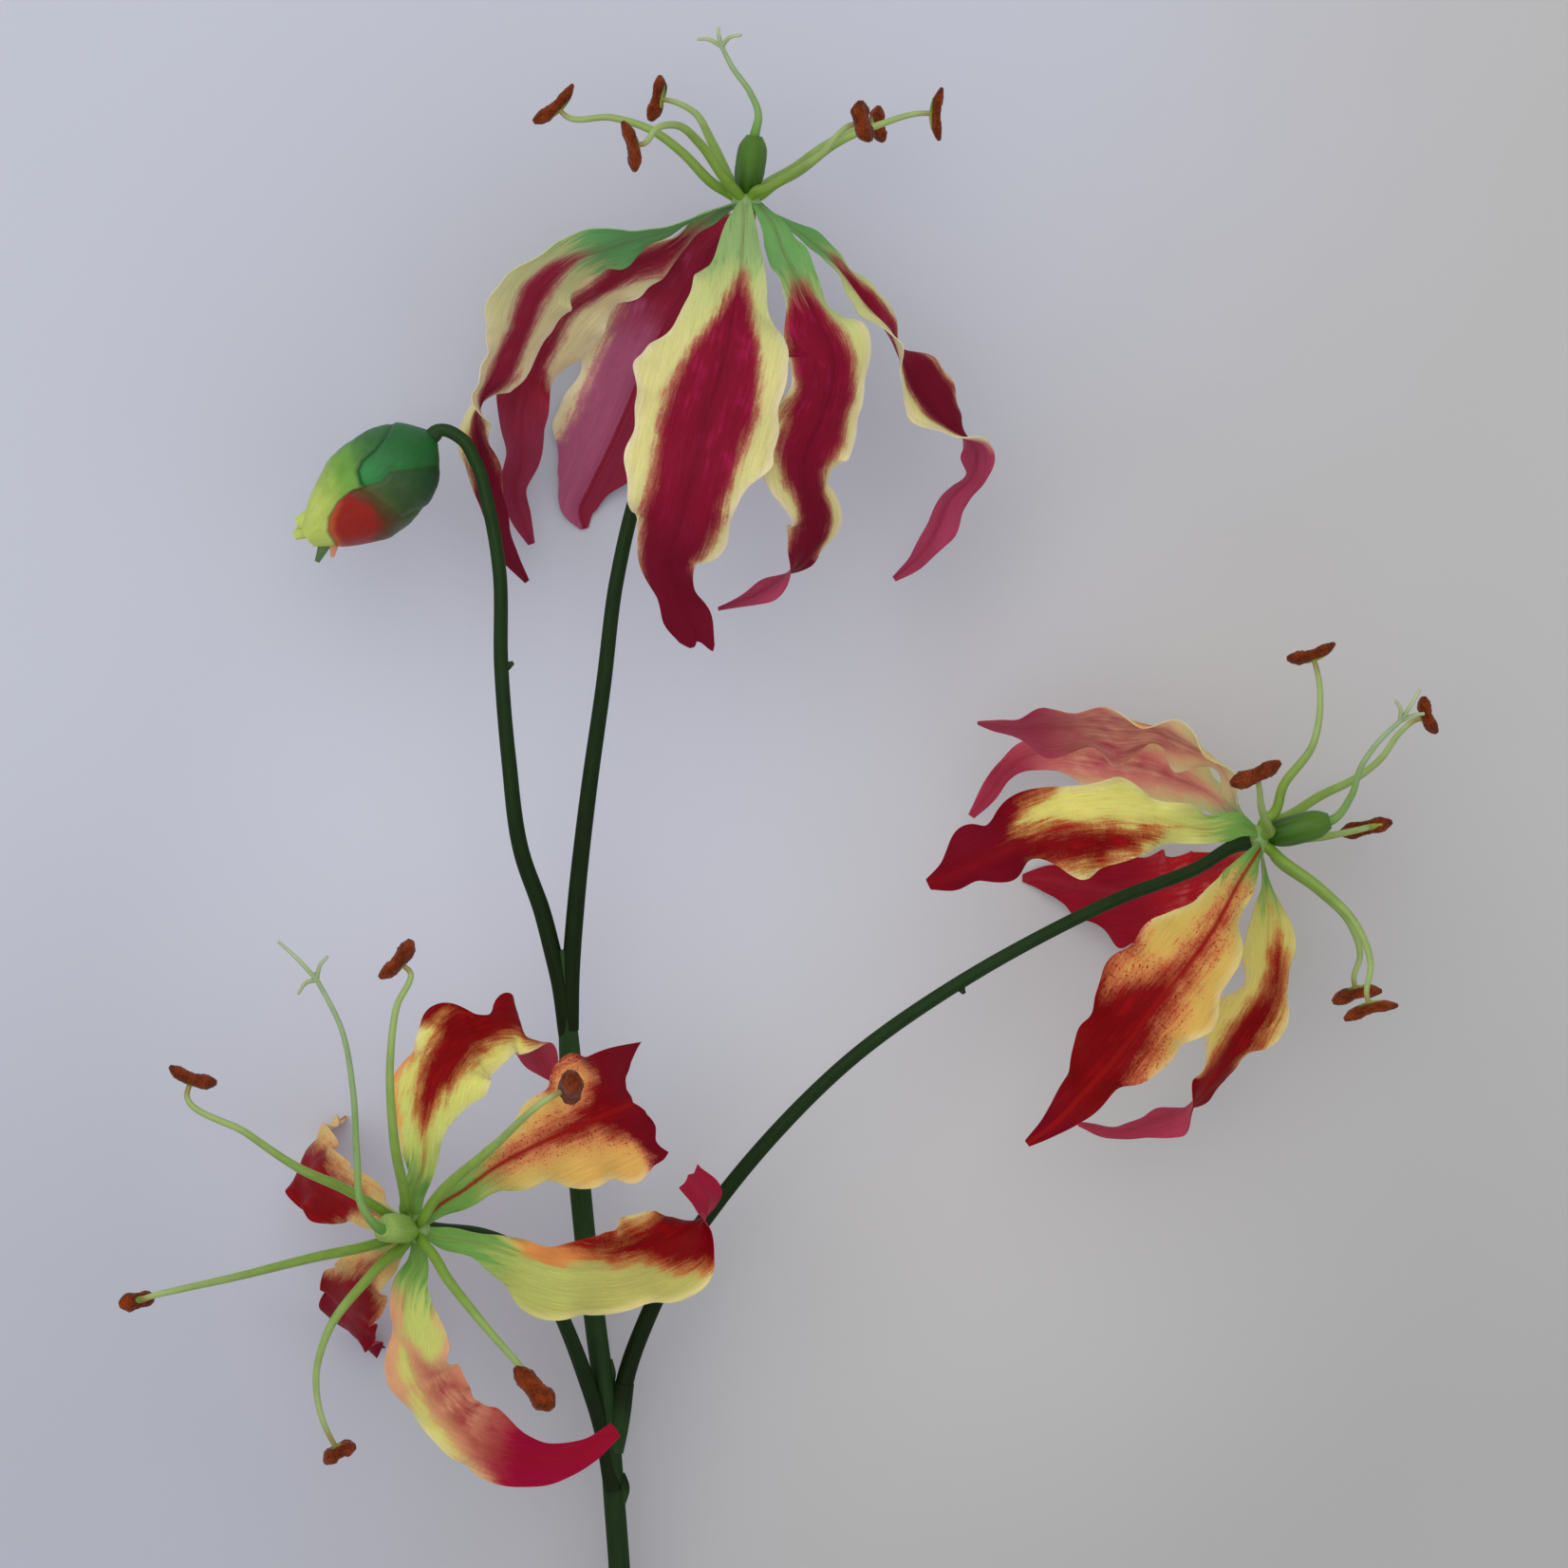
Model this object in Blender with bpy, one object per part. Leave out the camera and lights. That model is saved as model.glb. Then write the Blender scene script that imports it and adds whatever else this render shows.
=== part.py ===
"""A cut spray of flame lily, lying down: one branching stem with three open blooms and one nodding bud.

The plant lies on the plane z = 0 with its stem along Y. Every open bloom has six separate, swept-back petals, a hub
with six filaments, six anthers that balance on the filament tips, and a pistil with a bent style.
"""

import math

import bmesh
import bpy
import numpy as np

# Lengths are in millimetres, and this turns them into metres.
MM = 0.001

# Driving dimensions.
PETAL_THICKNESS = 0.6
CLAW_HALF_WIDTH = 1.35
HUB_RADIUS = 3.2
HUB_HALF_HEIGHT = 2.0
SEAT_GAP = 0.3
FILAMENT_RADII = (1.2, 1.2, 1.05, 0.85, 0.7, 0.55)
ANTHER_HALF_WIDTH = 1.9
ANTHER_HALF_DEPTH = 1.6
OVARY_RADIUS = 3.1
STYLE_RADII = (1.2, 0.85, 0.7, 0.6, 0.5)
STIGMA_RADII = (0.5, 0.45, 0.35)
PEDICEL_RADII = (2.0, 1.8, 1.6, 1.5, 1.4, 1.4)
STEM_RADII = (2.45, 2.45, 2.4, 2.4, 2.35, 2.3, 2.3, 2.3, 2.3, 2.3, 2.35, 1.2)
BUD_RADIUS = 9.6
UPPER_RISE = 0.6
LOWER_RISE = 0.9
RUFFLE_RISE = 4.0
SCALLOP = 0.09
FRINGE_SIDES = (-1, -0.75, -0.5, -0.25, 0, 0.25, 0.5, 0.75, 1)
FRINGE_START = 0.8
LEFT_EDGE_LAG = 2.2
FILAMENT_ROOT = 1.6
FILAMENT_HOOK = 1.2
ANTHER_BOW = 0.9
OVARY_LOBES = 0.07
STIGMA_BOW = 0.8
PEDICEL_NECK = 2.0
TUBE_BENDS = 0.5

# Shapes along a piece, as shares of its full radius.
HUB_PROFILE = ((-1, 0.5), (-0.55, 0.9), (0, 1.0), (0.55, 0.9), (1, 0.55))
ANTHER_PROFILE = (0.3, 0.85, 1.0, 0.9, 0.85, 0.9, 1.0, 0.85, 0.3)
OVARY_PROFILE = (0.5, 0.84, 0.98, 1.0, 1.0, 0.9, 0.52)

# How finely each kind of piece is divided.
PETAL_ROWS = 20
PETAL_COLUMNS = 4
HUB_SIDES = 12
FILAMENT_SIDES = 6
FILAMENT_RINGS = 9
ANTHER_SIDES = 6
ANTHER_RINGS = 6
OVARY_SIDES = 12
STIGMA_SIDES = 5
STIGMA_RINGS = 3
STEM_SIDES = 8
MAIN_RINGS = 20
PEDICEL_RINGS = 18
SCAR_RINGS = 5
BUD_SIDES = 28
SPAN_STEPS = 24
SHARP_ANGLE = math.radians(40)

# A tube's first normal is upward unless the tube is steeper than this, and then sideways.
UP = np.array([0.0, 0.0, 1.0])
SIDEWAYS = np.array([0.0, 1.0, 0.0])
STEEP = 0.9

# Colours and roughness.
LOOKS = {
    "stem": ((0.02, 0.045, 0.012), 0.5),
    "bud": ((0.06, 0.2, 0.05), 0.5),
    "petal": ((0.42, 0.02, 0.05), 0.5),
    "filament": ((0.25, 0.36, 0.06), 0.5),
    "anther": ((0.16, 0.03, 0.008), 0.8),
    "pistil": ((0.09, 0.26, 0.03), 0.5),
}

# The plant's places come from its upright likeness, 1652 units square: a place there, seen from straight above by an
# eye at EYE_HEIGHT, is MM_PER_UNIT from the next one on the level REF_HEIGHT. EYE_X and EYE_Y put the origin under
# the middle of the part's box.
LIKENESS_SIDE = 1652
MM_PER_UNIT = 0.2
REF_HEIGHT = 40.0
EYE_HEIGHT = 1500.0
EYE_X = -2.6
EYE_Y = 56.4


def seen_at(across, down, height):
    """The point at this height that is seen at (across, down) in the likeness."""
    scale = MM_PER_UNIT * (EYE_HEIGHT - height) / (EYE_HEIGHT - REF_HEIGHT)
    half = LIKENESS_SIDE / 2
    return np.array([EYE_X + (across - half) * scale, EYE_Y + (half - down) * scale, height])


def likeness_of(point):
    """The across and down on the plant's likeness of a point."""
    near = (EYE_HEIGHT - REF_HEIGHT) / (EYE_HEIGHT - point[2]) / MM_PER_UNIT
    return np.array([LIKENESS_SIDE / 2 + (point[0] - EYE_X) * near, LIKENESS_SIDE / 2 - (point[1] - EYE_Y) * near])


def inside(outline, place):
    """How far a place of the likeness is inside an outline there, in millimetres, and less than 0 outside it."""
    within, nearest = False, math.inf
    for start, end in zip(outline, outline[1:] + outline[:1]):
        start, span = np.array(start, float), np.subtract(end, start)
        away = place - start
        if (start[1] > place[1]) != (start[1] + span[1] > place[1]) and away[0] < span[0] * away[1] / span[1]:
            within = not within
        share = min(1.0, max(0.0, away @ span / (span @ span)))
        nearest = min(nearest, np.linalg.norm(away - share * span))
    return nearest * MM_PER_UNIT * (1 if within else -1)


def unit(vector):
    return vector / np.linalg.norm(vector)


def across_of(vector, direction):
    """The part of vector that is square to the unit vector direction, at unit length."""
    return unit(vector - direction * np.dot(vector, direction))


def smooth_curve(knots, count, bends=0.0):
    """count + 1 rows along a smooth curve through the knots, whose first three columns are its place, and the unit
    vectors along it. The rows are evenly spaced, and with bends above 0 closer where the curve bends."""
    knots = np.asarray(knots, float)
    at = np.r_[0, np.cumsum(np.linalg.norm(np.diff(knots[:, :3], axis=0), axis=1))]
    slope = np.gradient(knots, at, axis=0)
    rows = [knots[0]]
    for k in range(len(knots) - 1):
        span = at[k + 1] - at[k]
        for step in range(1, SPAN_STEPS + 1):
            t = step / SPAN_STEPS
            start = (1 + 2 * t) * (1 - t) ** 2 * knots[k] + t * (1 - t) ** 2 * span * slope[k]
            end = t * t * (3 - 2 * t) * knots[k + 1] + t * t * (t - 1) * span * slope[k + 1]
            rows.append(start + end)
    rows = np.array(rows)
    steps = np.linalg.norm(np.diff(rows[:, :3], axis=0), axis=1)
    run = np.r_[0, np.cumsum(steps)]
    ahead = np.gradient(rows[:, :3], run, axis=0)
    ahead /= np.linalg.norm(ahead, axis=1, keepdims=True)
    turn = np.r_[0, np.cumsum(np.linalg.norm(np.diff(ahead, axis=0), axis=1))]
    pace = (1 - bends) * run / run[-1] + bends * turn / max(turn[-1], 1e-9)
    even = np.linspace(0, pace[-1], count + 1)
    line = np.stack([np.interp(even, pace, column) for column in rows.T], 1)
    ahead = np.stack([np.interp(even, pace, column) for column in ahead.T], 1)
    return line, ahead / np.linalg.norm(ahead, axis=1, keepdims=True)


def eased(values, share):
    """The value at each share from 0 to 1 of a smooth line through evenly spaced values."""
    values = np.asarray(values, float)
    places = np.linspace(0, 1, len(values))
    slope = np.gradient(values, places)
    k = np.clip((np.asarray(share) * (len(values) - 1)).astype(int), 0, len(values) - 2)
    span = places[1]
    t = (share - places[k]) / span
    start = (1 + 2 * t) * (1 - t) ** 2 * values[k] + t * (1 - t) ** 2 * span * slope[k]
    end = t * t * (3 - 2 * t) * values[k + 1] + t * t * (t - 1) * span * slope[k + 1]
    return start + end


class Bloom:
    """A bloom's hub: its middle, the way that its pistil points, and the directions round it."""

    def __init__(self, across, down, height, axis):
        self.middle = seen_at(across, down, height)
        self.axis = unit(np.array(axis, float))
        self.front = across_of(np.array([0.0, 0.0, 1.0]), self.axis)
        self.side = np.cross(self.axis, self.front)

    def outward(self, around):
        """The direction away from the axis at this angle, in degrees from the side that faces up."""
        angle = math.radians(around)
        return math.cos(angle) * self.front + math.sin(angle) * self.side

    def rim(self, around, radius, rise):
        return self.middle + radius * self.outward(around) + rise * self.axis


BLOOMS = {
    "upper": Bloom(786, 214, 44, (0.0, 1.0, 0.0)),
    "right": Bloom(1326, 884, 44, (0.97, 0.24, 0.0)),
    "lower": Bloom(438, 1295, 66, (-0.45, 0.0, 0.89)),
}


def petal(around, knots, fold=-0.1, curl=0.0, ruffle=1.4, waves=4.5, phase=0.0, facing=(0, 0, 1), fringe=(0,) * 9):
    """A petal's form. around is its claw's angle on the hub. Each knot is (across, down, height, roll, right, left):
    at roll 0 the upper face looks along facing, at 180 the reverse does, and right and left are the half widths there,
    as seen on the upper face by one who looks from claw to tip. fold and curl lift the edges towards the upper face,
    ruffle waves them, and fringe is how far the tip reaches on at each of FRINGE_SIDES, from left to right."""
    return {
        "around": around,
        "knots": knots,
        "fold": fold,
        "curl": curl,
        "ruffle": ruffle,
        "waves": waves,
        "phase": phase,
        "facing": np.array(facing, float),
        "fringe": fringe,
    }


PETALS = {
    "upper": [
        petal(
            -6,
            [(783, 236, 50.8, 0, 3.6, 2.8), (780, 280, 60, 0, 7.0, 4.8), (772, 330, 67, 0, 11.0, 9.2),
             (762, 378, 71, 0, 14.8, 13.4), (748, 425, 73.5, 0, 16.4, 14.8), (735, 470, 74, 0, 14.8, 14.2),
             (726, 512, 73, 2, 12.0, 11.8), (716, 556, 71, 4, 11.0, 10.0), (704, 592, 68, 6, 6.8, 6.0),
             (713, 624, 65, 8, 4.2, 3.8), (725, 652, 62, 10, 5.2, 4.8), (735, 678, 60, 10, 3.6, 3.2)],
            fold=-0.1, ruffle=2.5, phase=0.4, fringe=(1.5, 2.6, 1.6, 0, -0.6, 0.6, 0.8, 0, -1.2),
        ),
        petal(
            50,
            [(812, 232, 48.6, -20, 2.4, 2.4), (825, 262, 53, -26, 3.6, 3.8), (840, 292, 57, -30, 4.8, 5.0),
             (860, 335, 61, -34, 7.8, 7.2), (880, 378, 63.5, -36, 10.4, 8.8), (876, 412, 64.5, -36, 11.6, 9.6),
             (862, 446, 64, -36, 10.8, 10.0), (848, 484, 62.5, -32, 10.0, 8.4), (850, 520, 60, -30, 7.0, 8.0),
             (860, 552, 57.5, -34, 6.4, 7.2), (850, 582, 55.5, -70, 5.0, 5.4), (826, 610, 54, -105, 4.6, 4.6),
             (795, 630, 53, -115, 3.6, 3.6), (757, 642, 52, -115, 0.8, 0.8)],
            ruffle=2.2, phase=1.6,
        ),
        petal(
            108,
            [(818, 229, 42, -80, 2.2, 2.2), (850, 251, 42, -66, 4.2, 4.2), (885, 284, 41, -64, 5.6, 5.6),
             (912, 316, 39.5, -68, 6.2, 6.2), (936, 350, 38, -84, 6.8, 6.8), (957, 388, 36.5, -55, 7.2, 7.4),
             (982, 426, 34.5, -50, 7.2, 7.6), (1008, 452, 33, -66, 6.6, 6.4), (1030, 474, 31, -110, 5.6, 5.4),
             (1027, 502, 30, -135, 4.2, 4.2), (1003, 527, 29, -140, 3.8, 3.8), (987, 560, 28, -140, 3.2, 3.2),
             (968, 588, 28, -140, 2.6, 2.6), (942, 610, 27, -135, 0.8, 0.8)],
            fold=0.12, ruffle=1.3, phase=2.5,
        ),
        petal(
            180,
            [(785, 228, 37, 180, 2.4, 2.4), (748, 262, 29, 180, 5.0, 6.0), (722, 305, 22, 181, 8.0, 11.0),
             (697, 352, 15, 183, 8.6, 15.4), (674, 400, 9, 186, 9.0, 13.6), (655, 445, 5, 188, 9.0, 13.6),
             (637, 485, 3, 186, 7.4, 12.0), (622, 515, 1.6, 184, 3.8, 8.0), (612, 538, 0.6, 180, 3.0, 4.2),
             (616, 557, 0.3, 180, 0.8, 0.8)],
            fold=-0.06, curl=-0.1, ruffle=1.5, phase=0.9,
        ),
        petal(
            238,
            [(757, 222, 40.2, 110, 2.2, 2.2), (706, 258, 33, 118, 4.5, 4.5), (650, 290, 27.5, 128, 7.0, 7.0),
             (603, 325, 22.5, 138, 9.4, 9.4), (577, 365, 18.5, 138, 9.4, 9.4), (556, 405, 15.5, 150, 6.4, 6.4),
             (549, 448, 13, 185, 4.8, 4.8), (551, 482, 12, 190, 3.8, 4.0), (543, 517, 11, 195, 2.7, 2.9),
             (549, 545, 10.5, 195, 2.4, 2.4), (560, 573, 10, 200, 0.8, 0.8)],
            ruffle=1.1, phase=3.6,
        ),
        petal(
            296,
            [(756, 219, 47, 85, 2.2, 2.2), (715, 236, 48, 100, 4.5, 4.5), (655, 256, 48, 110, 7.0, 7.0),
             (600, 276, 45, 120, 9.0, 11.0), (566, 308, 40.5, 124, 9.0, 13.5), (549, 348, 36, 124, 8.6, 11.6),
             (530, 390, 32, 118, 7.6, 9.6), (509, 418, 29, 92, 7.0, 7.4), (503, 450, 26.5, 50, 5.6, 5.0),
             (507, 490, 24.5, 40, 4.2, 4.2), (515, 530, 23.5, 40, 3.6, 3.8), (527, 565, 23, 40, 3.2, 3.2),
             (539, 590, 23, 45, 2.4, 2.4), (555, 613, 23, 50, 0.8, 0.8)],
            ruffle=1.2, phase=5.0,
        ),
    ],
    "right": [
        petal(
            -35,
            [(1308, 869, 49.6, 30, 2.4, 2.4), (1270, 872, 55, 18, 3.6, 3.8), (1230, 866, 60, 8, 4.6, 5.0),
             (1190, 862, 63, 4, 7.4, 8.6), (1150, 864, 65, 0, 8.0, 11.4), (1110, 872, 64.5, 0, 8.6, 9.4),
             (1074, 887, 62.8, 0, 8.8, 4.6), (1050, 898, 61.3, 0, 6.4, 6.2), (1025, 909, 59, 0, 7.2, 3.8),
             (1000, 922, 56.8, 0, 3.2, 3.6), (978, 932, 54.5, 0, 1.2, 1.2)],
            fold=-0.08, ruffle=2.3, phase=0.3,
        ),
        petal(
            -88,
            [(1308, 856, 44, 92, 2.2, 2.2), (1296, 820, 43.5, 100, 5.0, 5.0), (1262, 788, 42.5, 106, 8.2, 8.2),
             (1220, 771, 41.5, 110, 10.6, 10.6), (1170, 765, 40, 113, 11.6, 11.6), (1120, 765, 38.5, 114, 10.8, 10.8),
             (1075, 764, 37.5, 112, 7.6, 7.6), (1030, 761, 37, 108, 0.8, 0.8)],
            fold=-0.15, ruffle=1.7, phase=1.5,
        ),
        petal(
            -142,
            [(1309, 866, 38.5, 135, 2.4, 2.4), (1280, 838, 31, 150, 4.4, 4.4), (1240, 818, 26, 158, 7.0, 7.0),
             (1195, 804, 21.5, 162, 8.4, 8.4), (1150, 795, 18, 165, 7.0, 6.4), (1110, 791, 15.5, 165, 4.4, 4.2),
             (1078, 798, 13.5, 165, 2.8, 2.8), (1055, 816, 11.5, 165, 2.4, 2.6), (1042, 836, 10, 165, 2.0, 2.2),
             (1023, 860, 9, 160, 0.8, 0.8)],
            ruffle=1.1, phase=2.9,
        ),
        petal(
            145,
            [(1316, 904, 38, 195, 2.4, 2.4), (1272, 918, 27, 190, 4.4, 4.4), (1235, 930, 18, 186, 6.6, 6.4),
             (1195, 938, 10.5, 182, 11.6, 7.4), (1160, 938, 6, 180, 8.6, 5.6), (1125, 932, 3, 180, 4.2, 4.4),
             (1100, 926, 1.0, 180, 2.6, 2.8), (1077, 925, 0.3, 180, 0.8, 0.8)],
            ruffle=1.6, waves=6.5, phase=4.1,
        ),
        petal(
            90,
            [(1331, 918, 43.6, -76, 2.4, 2.4), (1335, 950, 43.5, -34, 4.0, 3.8), (1336, 995, 43, -24, 5.4, 5.0),
             (1331, 1040, 41.5, -24, 6.4, 6.4), (1312, 1078, 39, -26, 8.4, 8.2), (1292, 1110, 36, -34, 6.4, 5.6),
             (1276, 1140, 33, -66, 5.6, 5.6), (1250, 1166, 30.5, -105, 4.6, 4.6), (1216, 1184, 28.5, -118, 4.0, 4.0),
             (1178, 1192, 27.5, -118, 3.6, 3.6), (1136, 1184, 26.5, -115, 0.8, 0.8)],
            fold=0.1, ruffle=1.3, phase=5.3,
        ),
        petal(
            36,
            [(1321, 905, 49.5, -24, 2.4, 2.4), (1300, 940, 55, -14, 4.4, 3.6), (1275, 985, 59, -8, 9.2, 7.2),
             (1245, 1025, 61, -4, 12.4, 11.0), (1215, 1062, 60.5, 0, 12.4, 11.2), (1188, 1098, 58.5, 0, 10.4, 8.8),
             (1162, 1130, 55.5, 0, 7.6, 5.2), (1142, 1152, 53, 0, 5.4, 4.4), (1112, 1183, 50, 0, 2.8, 2.6),
             (1082, 1205, 47, 0, 0.8, 0.8)],
            fold=-0.06, ruffle=2.6, waves=5.5, phase=0.8,
        ),
    ],
    "lower": [
        petal(
            98,
            [(436, 1262, 66.4, 12, 2.2, 2.2), (445, 1235, 69, 6, 2.6, 3.0), (448, 1200, 70, 2, 3.4, 6.0),
             (455, 1165, 68.5, 0, 6.4, 8.2), (464, 1132, 65.5, -2, 9.6, 8.6), (480, 1106, 61, -6, 10.4, 8.2),
             (491, 1095, 58.6, -10, 9.4, 8.8), (506, 1089, 55.6, -12, 7.8, 4.4), (528, 1084, 51.5, -18, 6.6, 4.4),
             (545, 1086, 47.8, -50, 5.4, 8.6), (558, 1097, 45, -122, 4.6, 6.4), (571, 1116, 42.8, -158, 3.8, 4.0),
             (584, 1138, 41, -165, 0.8, 0.8)],
            fold=-0.08, ruffle=1.7, phase=0.6,
        ),
        petal(
            44,
            [(460, 1272, 68, -6, 2.4, 2.2), (488, 1254, 69, -6, 3.6, 3.0), (520, 1231, 70, -6, 5.4, 4.0),
             (552, 1213, 69, -4, 8.0, 6.0), (585, 1197, 66.5, -4, 11.0, 9.4), (616, 1184, 62.5, -4, 13.6, 12.4),
             (641, 1173, 58, -4, 14.6, 13.6), (660, 1165, 54, -6, 14.2, 12.6), (672, 1159, 50.5, -8, 12.6, 10.8)],
            fold=-0.06, ruffle=2.2, phase=1.9, facing=(0.35, 0.2, 0.9),
            fringe=(12.5, 6.0, 1.0, -1.4, -1.2, 0.4, 1.0, -2.2, 0.4),
        ),
        petal(
            -16,
            [(467, 1304, 68, 0, 2.4, 2.2), (500, 1309, 68, 6, 3.0, 2.2), (545, 1322, 67.5, 12, 8.0, 2.8),
             (590, 1335, 65, 14, 11.0, 4.8), (630, 1338, 61.5, 12, 10.8, 7.4), (665, 1332, 57, 6, 8.6, 9.4),
             (697, 1318, 52.5, -2, 12.0, 8.4), (722, 1302, 49.5, -20, 8.6, 6.4), (740, 1286, 48.5, -70, 6.0, 5.2),
             (743, 1264, 50, -128, 5.0, 5.0), (726, 1241, 52, -140, 3.8, 3.8)],
            fold=-0.06, ruffle=1.8, phase=3.1, fringe=(0.6, 0.2, 0, 0.4, 0.8, 0.4, 0, 0.2, 0.6),
        ),
        petal(
            -84,
            [(440, 1328, 66.4, 20, 2.4, 2.4), (430, 1356, 68, 22, 3.4, 4.6), (426, 1385, 68, 22, 3.4, 7.4),
             (427, 1418, 65.5, 20, 3.6, 9.4), (434, 1448, 62, 16, 5.2, 9.4), (452, 1479, 56.5, 10, 4.2, 8.6),
             (480, 1505, 51, 6, 5.0, 8.0), (512, 1524, 46.5, 0, 6.2, 7.4), (550, 1536, 43, 0, 6.0, 5.2),
             (585, 1538, 40.5, 0, 5.0, 3.4), (618, 1528, 39, 0, 3.0, 2.4), (649, 1506, 38.5, 0, 1.7, 1.7)],
            fold=-0.06, ruffle=1.3, phase=4.4,
        ),
        petal(
            -136,
            [(415, 1317, 63.4, 0, 2.4, 2.4), (388, 1338, 53, 0, 5.0, 5.0), (370, 1364, 41, 0, 6.8, 7.2),
             (364, 1388, 27, 0, 7.6, 7.6), (371, 1405, 13, 0, 6.6, 6.6), (386, 1415, 3, 0, 4.4, 4.4),
             (404, 1420, 0.3, 0, 0.8, 0.8)],
            ruffle=1.7, phase=5.6, facing=(-0.7, -0.6, 0.5),
        ),
        petal(
            162,
            [(409, 1285, 62.6, 0, 2.4, 2.4), (378, 1264, 53, 0, 4.6, 5.0), (346, 1246, 42, 0, 5.6, 8.0),
             (328, 1226, 28, 0, 6.4, 8.4), (332, 1203, 13, 0, 6.0, 6.0), (347, 1188, 3, 0, 4.2, 4.2),
             (364, 1176, 0.3, 0, 0.8, 0.8)],
            ruffle=1.7, phase=0.2, facing=(-0.8, 0.45, 0.5),
        ),
    ],
}

# Each stamen: the angle where its filament leaves the hub, the filament's knots, and the anther's two ends, all as
# (across, down, height), and how plump the anther is at its two ends.
STAMENS = {
    "upper": [
        (270, [(752, 194, 46), (718, 160, 47), (688, 138, 47), (645, 124, 46)],
         (607, 92, 46), (565, 132, 46), (0.7, 1.2)),
        (212, [(768, 188, 38), (750, 150, 32), (731, 118, 26)],
         (699, 80, 20), (688, 128, 20), (0.85, 1.05)),
        (328, [(765, 190, 51), (738, 152, 57), (713, 132, 63), (691, 136, 67)],
         (660, 127, 69), (673, 180, 70), (0.8, 1.0)),
        (32, [(806, 199, 51), (835, 183, 58), (866, 162, 66)],
         (903, 107, 72), (913, 150, 72), (1.15, 1.2)),
        (148, [(805, 196, 37), (836, 177, 30), (870, 152, 24)],
         (922, 112, 18), (927, 150, 18), (1.0, 1.0)),
        (90, [(812, 197, 44), (842, 180, 45), (878, 153, 46), (925, 132, 45)],
         (988, 92, 44), (985, 148, 44), (0.75, 0.75)),
    ],
    "right": [
        (-70, [(1341, 858, 46), (1352, 828, 49), (1383, 785, 51), (1391, 742, 51)],
         (1357, 698, 50), (1408, 682, 50), (1.1, 0.8)),
        (-12, [(1336, 872, 53), (1329, 851, 64)],
         (1297, 828, 76), (1350, 805, 76), (1.1, 0.85)),
        (-125, [(1352, 862, 38), (1392, 838, 32), (1430, 819, 28), (1456, 798, 25), (1474, 773, 24)],
         (1496, 735, 24), (1510, 774, 24), (1.1, 1.0)),
        (178, [(1350, 882, 36), (1375, 883, 27), (1404, 880, 20)],
         (1412, 878, 17), (1467, 866, 17), (1.0, 0.85)),
        (122, [(1346, 906, 39), (1390, 939, 34), (1423, 974, 30), (1433, 1006, 28)],
         (1403, 1052, 26), (1455, 1040, 26), (1.15, 0.9)),
        (58, [(1348, 904, 49), (1393, 937, 55), (1430, 976, 59), (1444, 1014, 60)],
         (1415, 1070, 60), (1472, 1055, 60), (1.05, 0.8)),
    ],
    "lower": [
        (110, [(427, 1266, 71), (415, 1200, 84), (411, 1120, 88), (418, 1060, 88)],
         (437, 993, 87), (403, 1033, 87), (1.3, 1.0)),
        (150, [(400, 1274, 70), (370, 1256, 75), (310, 1228, 85), (260, 1194, 89)],
         (177, 1128, 89), (227, 1145, 89), (0.95, 1.15)),
        (205, [(394, 1311, 70.5), (330, 1325, 81), (250, 1345, 94)],
         (128, 1374, 104), (164, 1366, 99), (1.1, 0.8)),
        (245, [(413, 1322, 70), (385, 1350, 77), (347, 1400, 82), (333, 1450, 80), (338, 1490, 78)],
         (340, 1538, 75), (373, 1520, 75), (1.1, 1.1)),
        (-42, [(454, 1319, 72), (470, 1345, 78), (505, 1390, 88)],
         (543, 1440, 96), (582, 1484, 96), (1.0, 1.5)),
        (38, [(454, 1270, 72), (520, 1208, 86)],
         (597, 1155, 90), (604, 1136, 100), (1.5, 1.4)),
    ],
}

# Each pistil: the ovary's tip, the style's knots after it, and the tips of the three stigma branches.
PISTILS = {
    "upper": (
        (795, 143, 45),
        [(799, 120, 46), (790, 97, 46), (771, 70, 46), (759, 46, 46)],
        [(757, 28, 46), (735, 41, 43), (781, 37, 49)],
    ),
    "right": (
        (1401, 865, 46),
        [(1424, 838, 50), (1434, 808, 53), (1452, 782, 54), (1478, 757, 54)],
        [(1496, 726, 54), (1500, 752, 51), (1470, 738, 57)],
    ),
    "lower": (
        (402, 1295, 79.5),
        [(381, 1270, 84), (376, 1220, 85), (372, 1150, 87), (360, 1085, 89), (330, 1025, 90)],
        [(293, 992, 90), (345, 1008, 93), (314, 1047, 87)],
    ),
}

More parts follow.
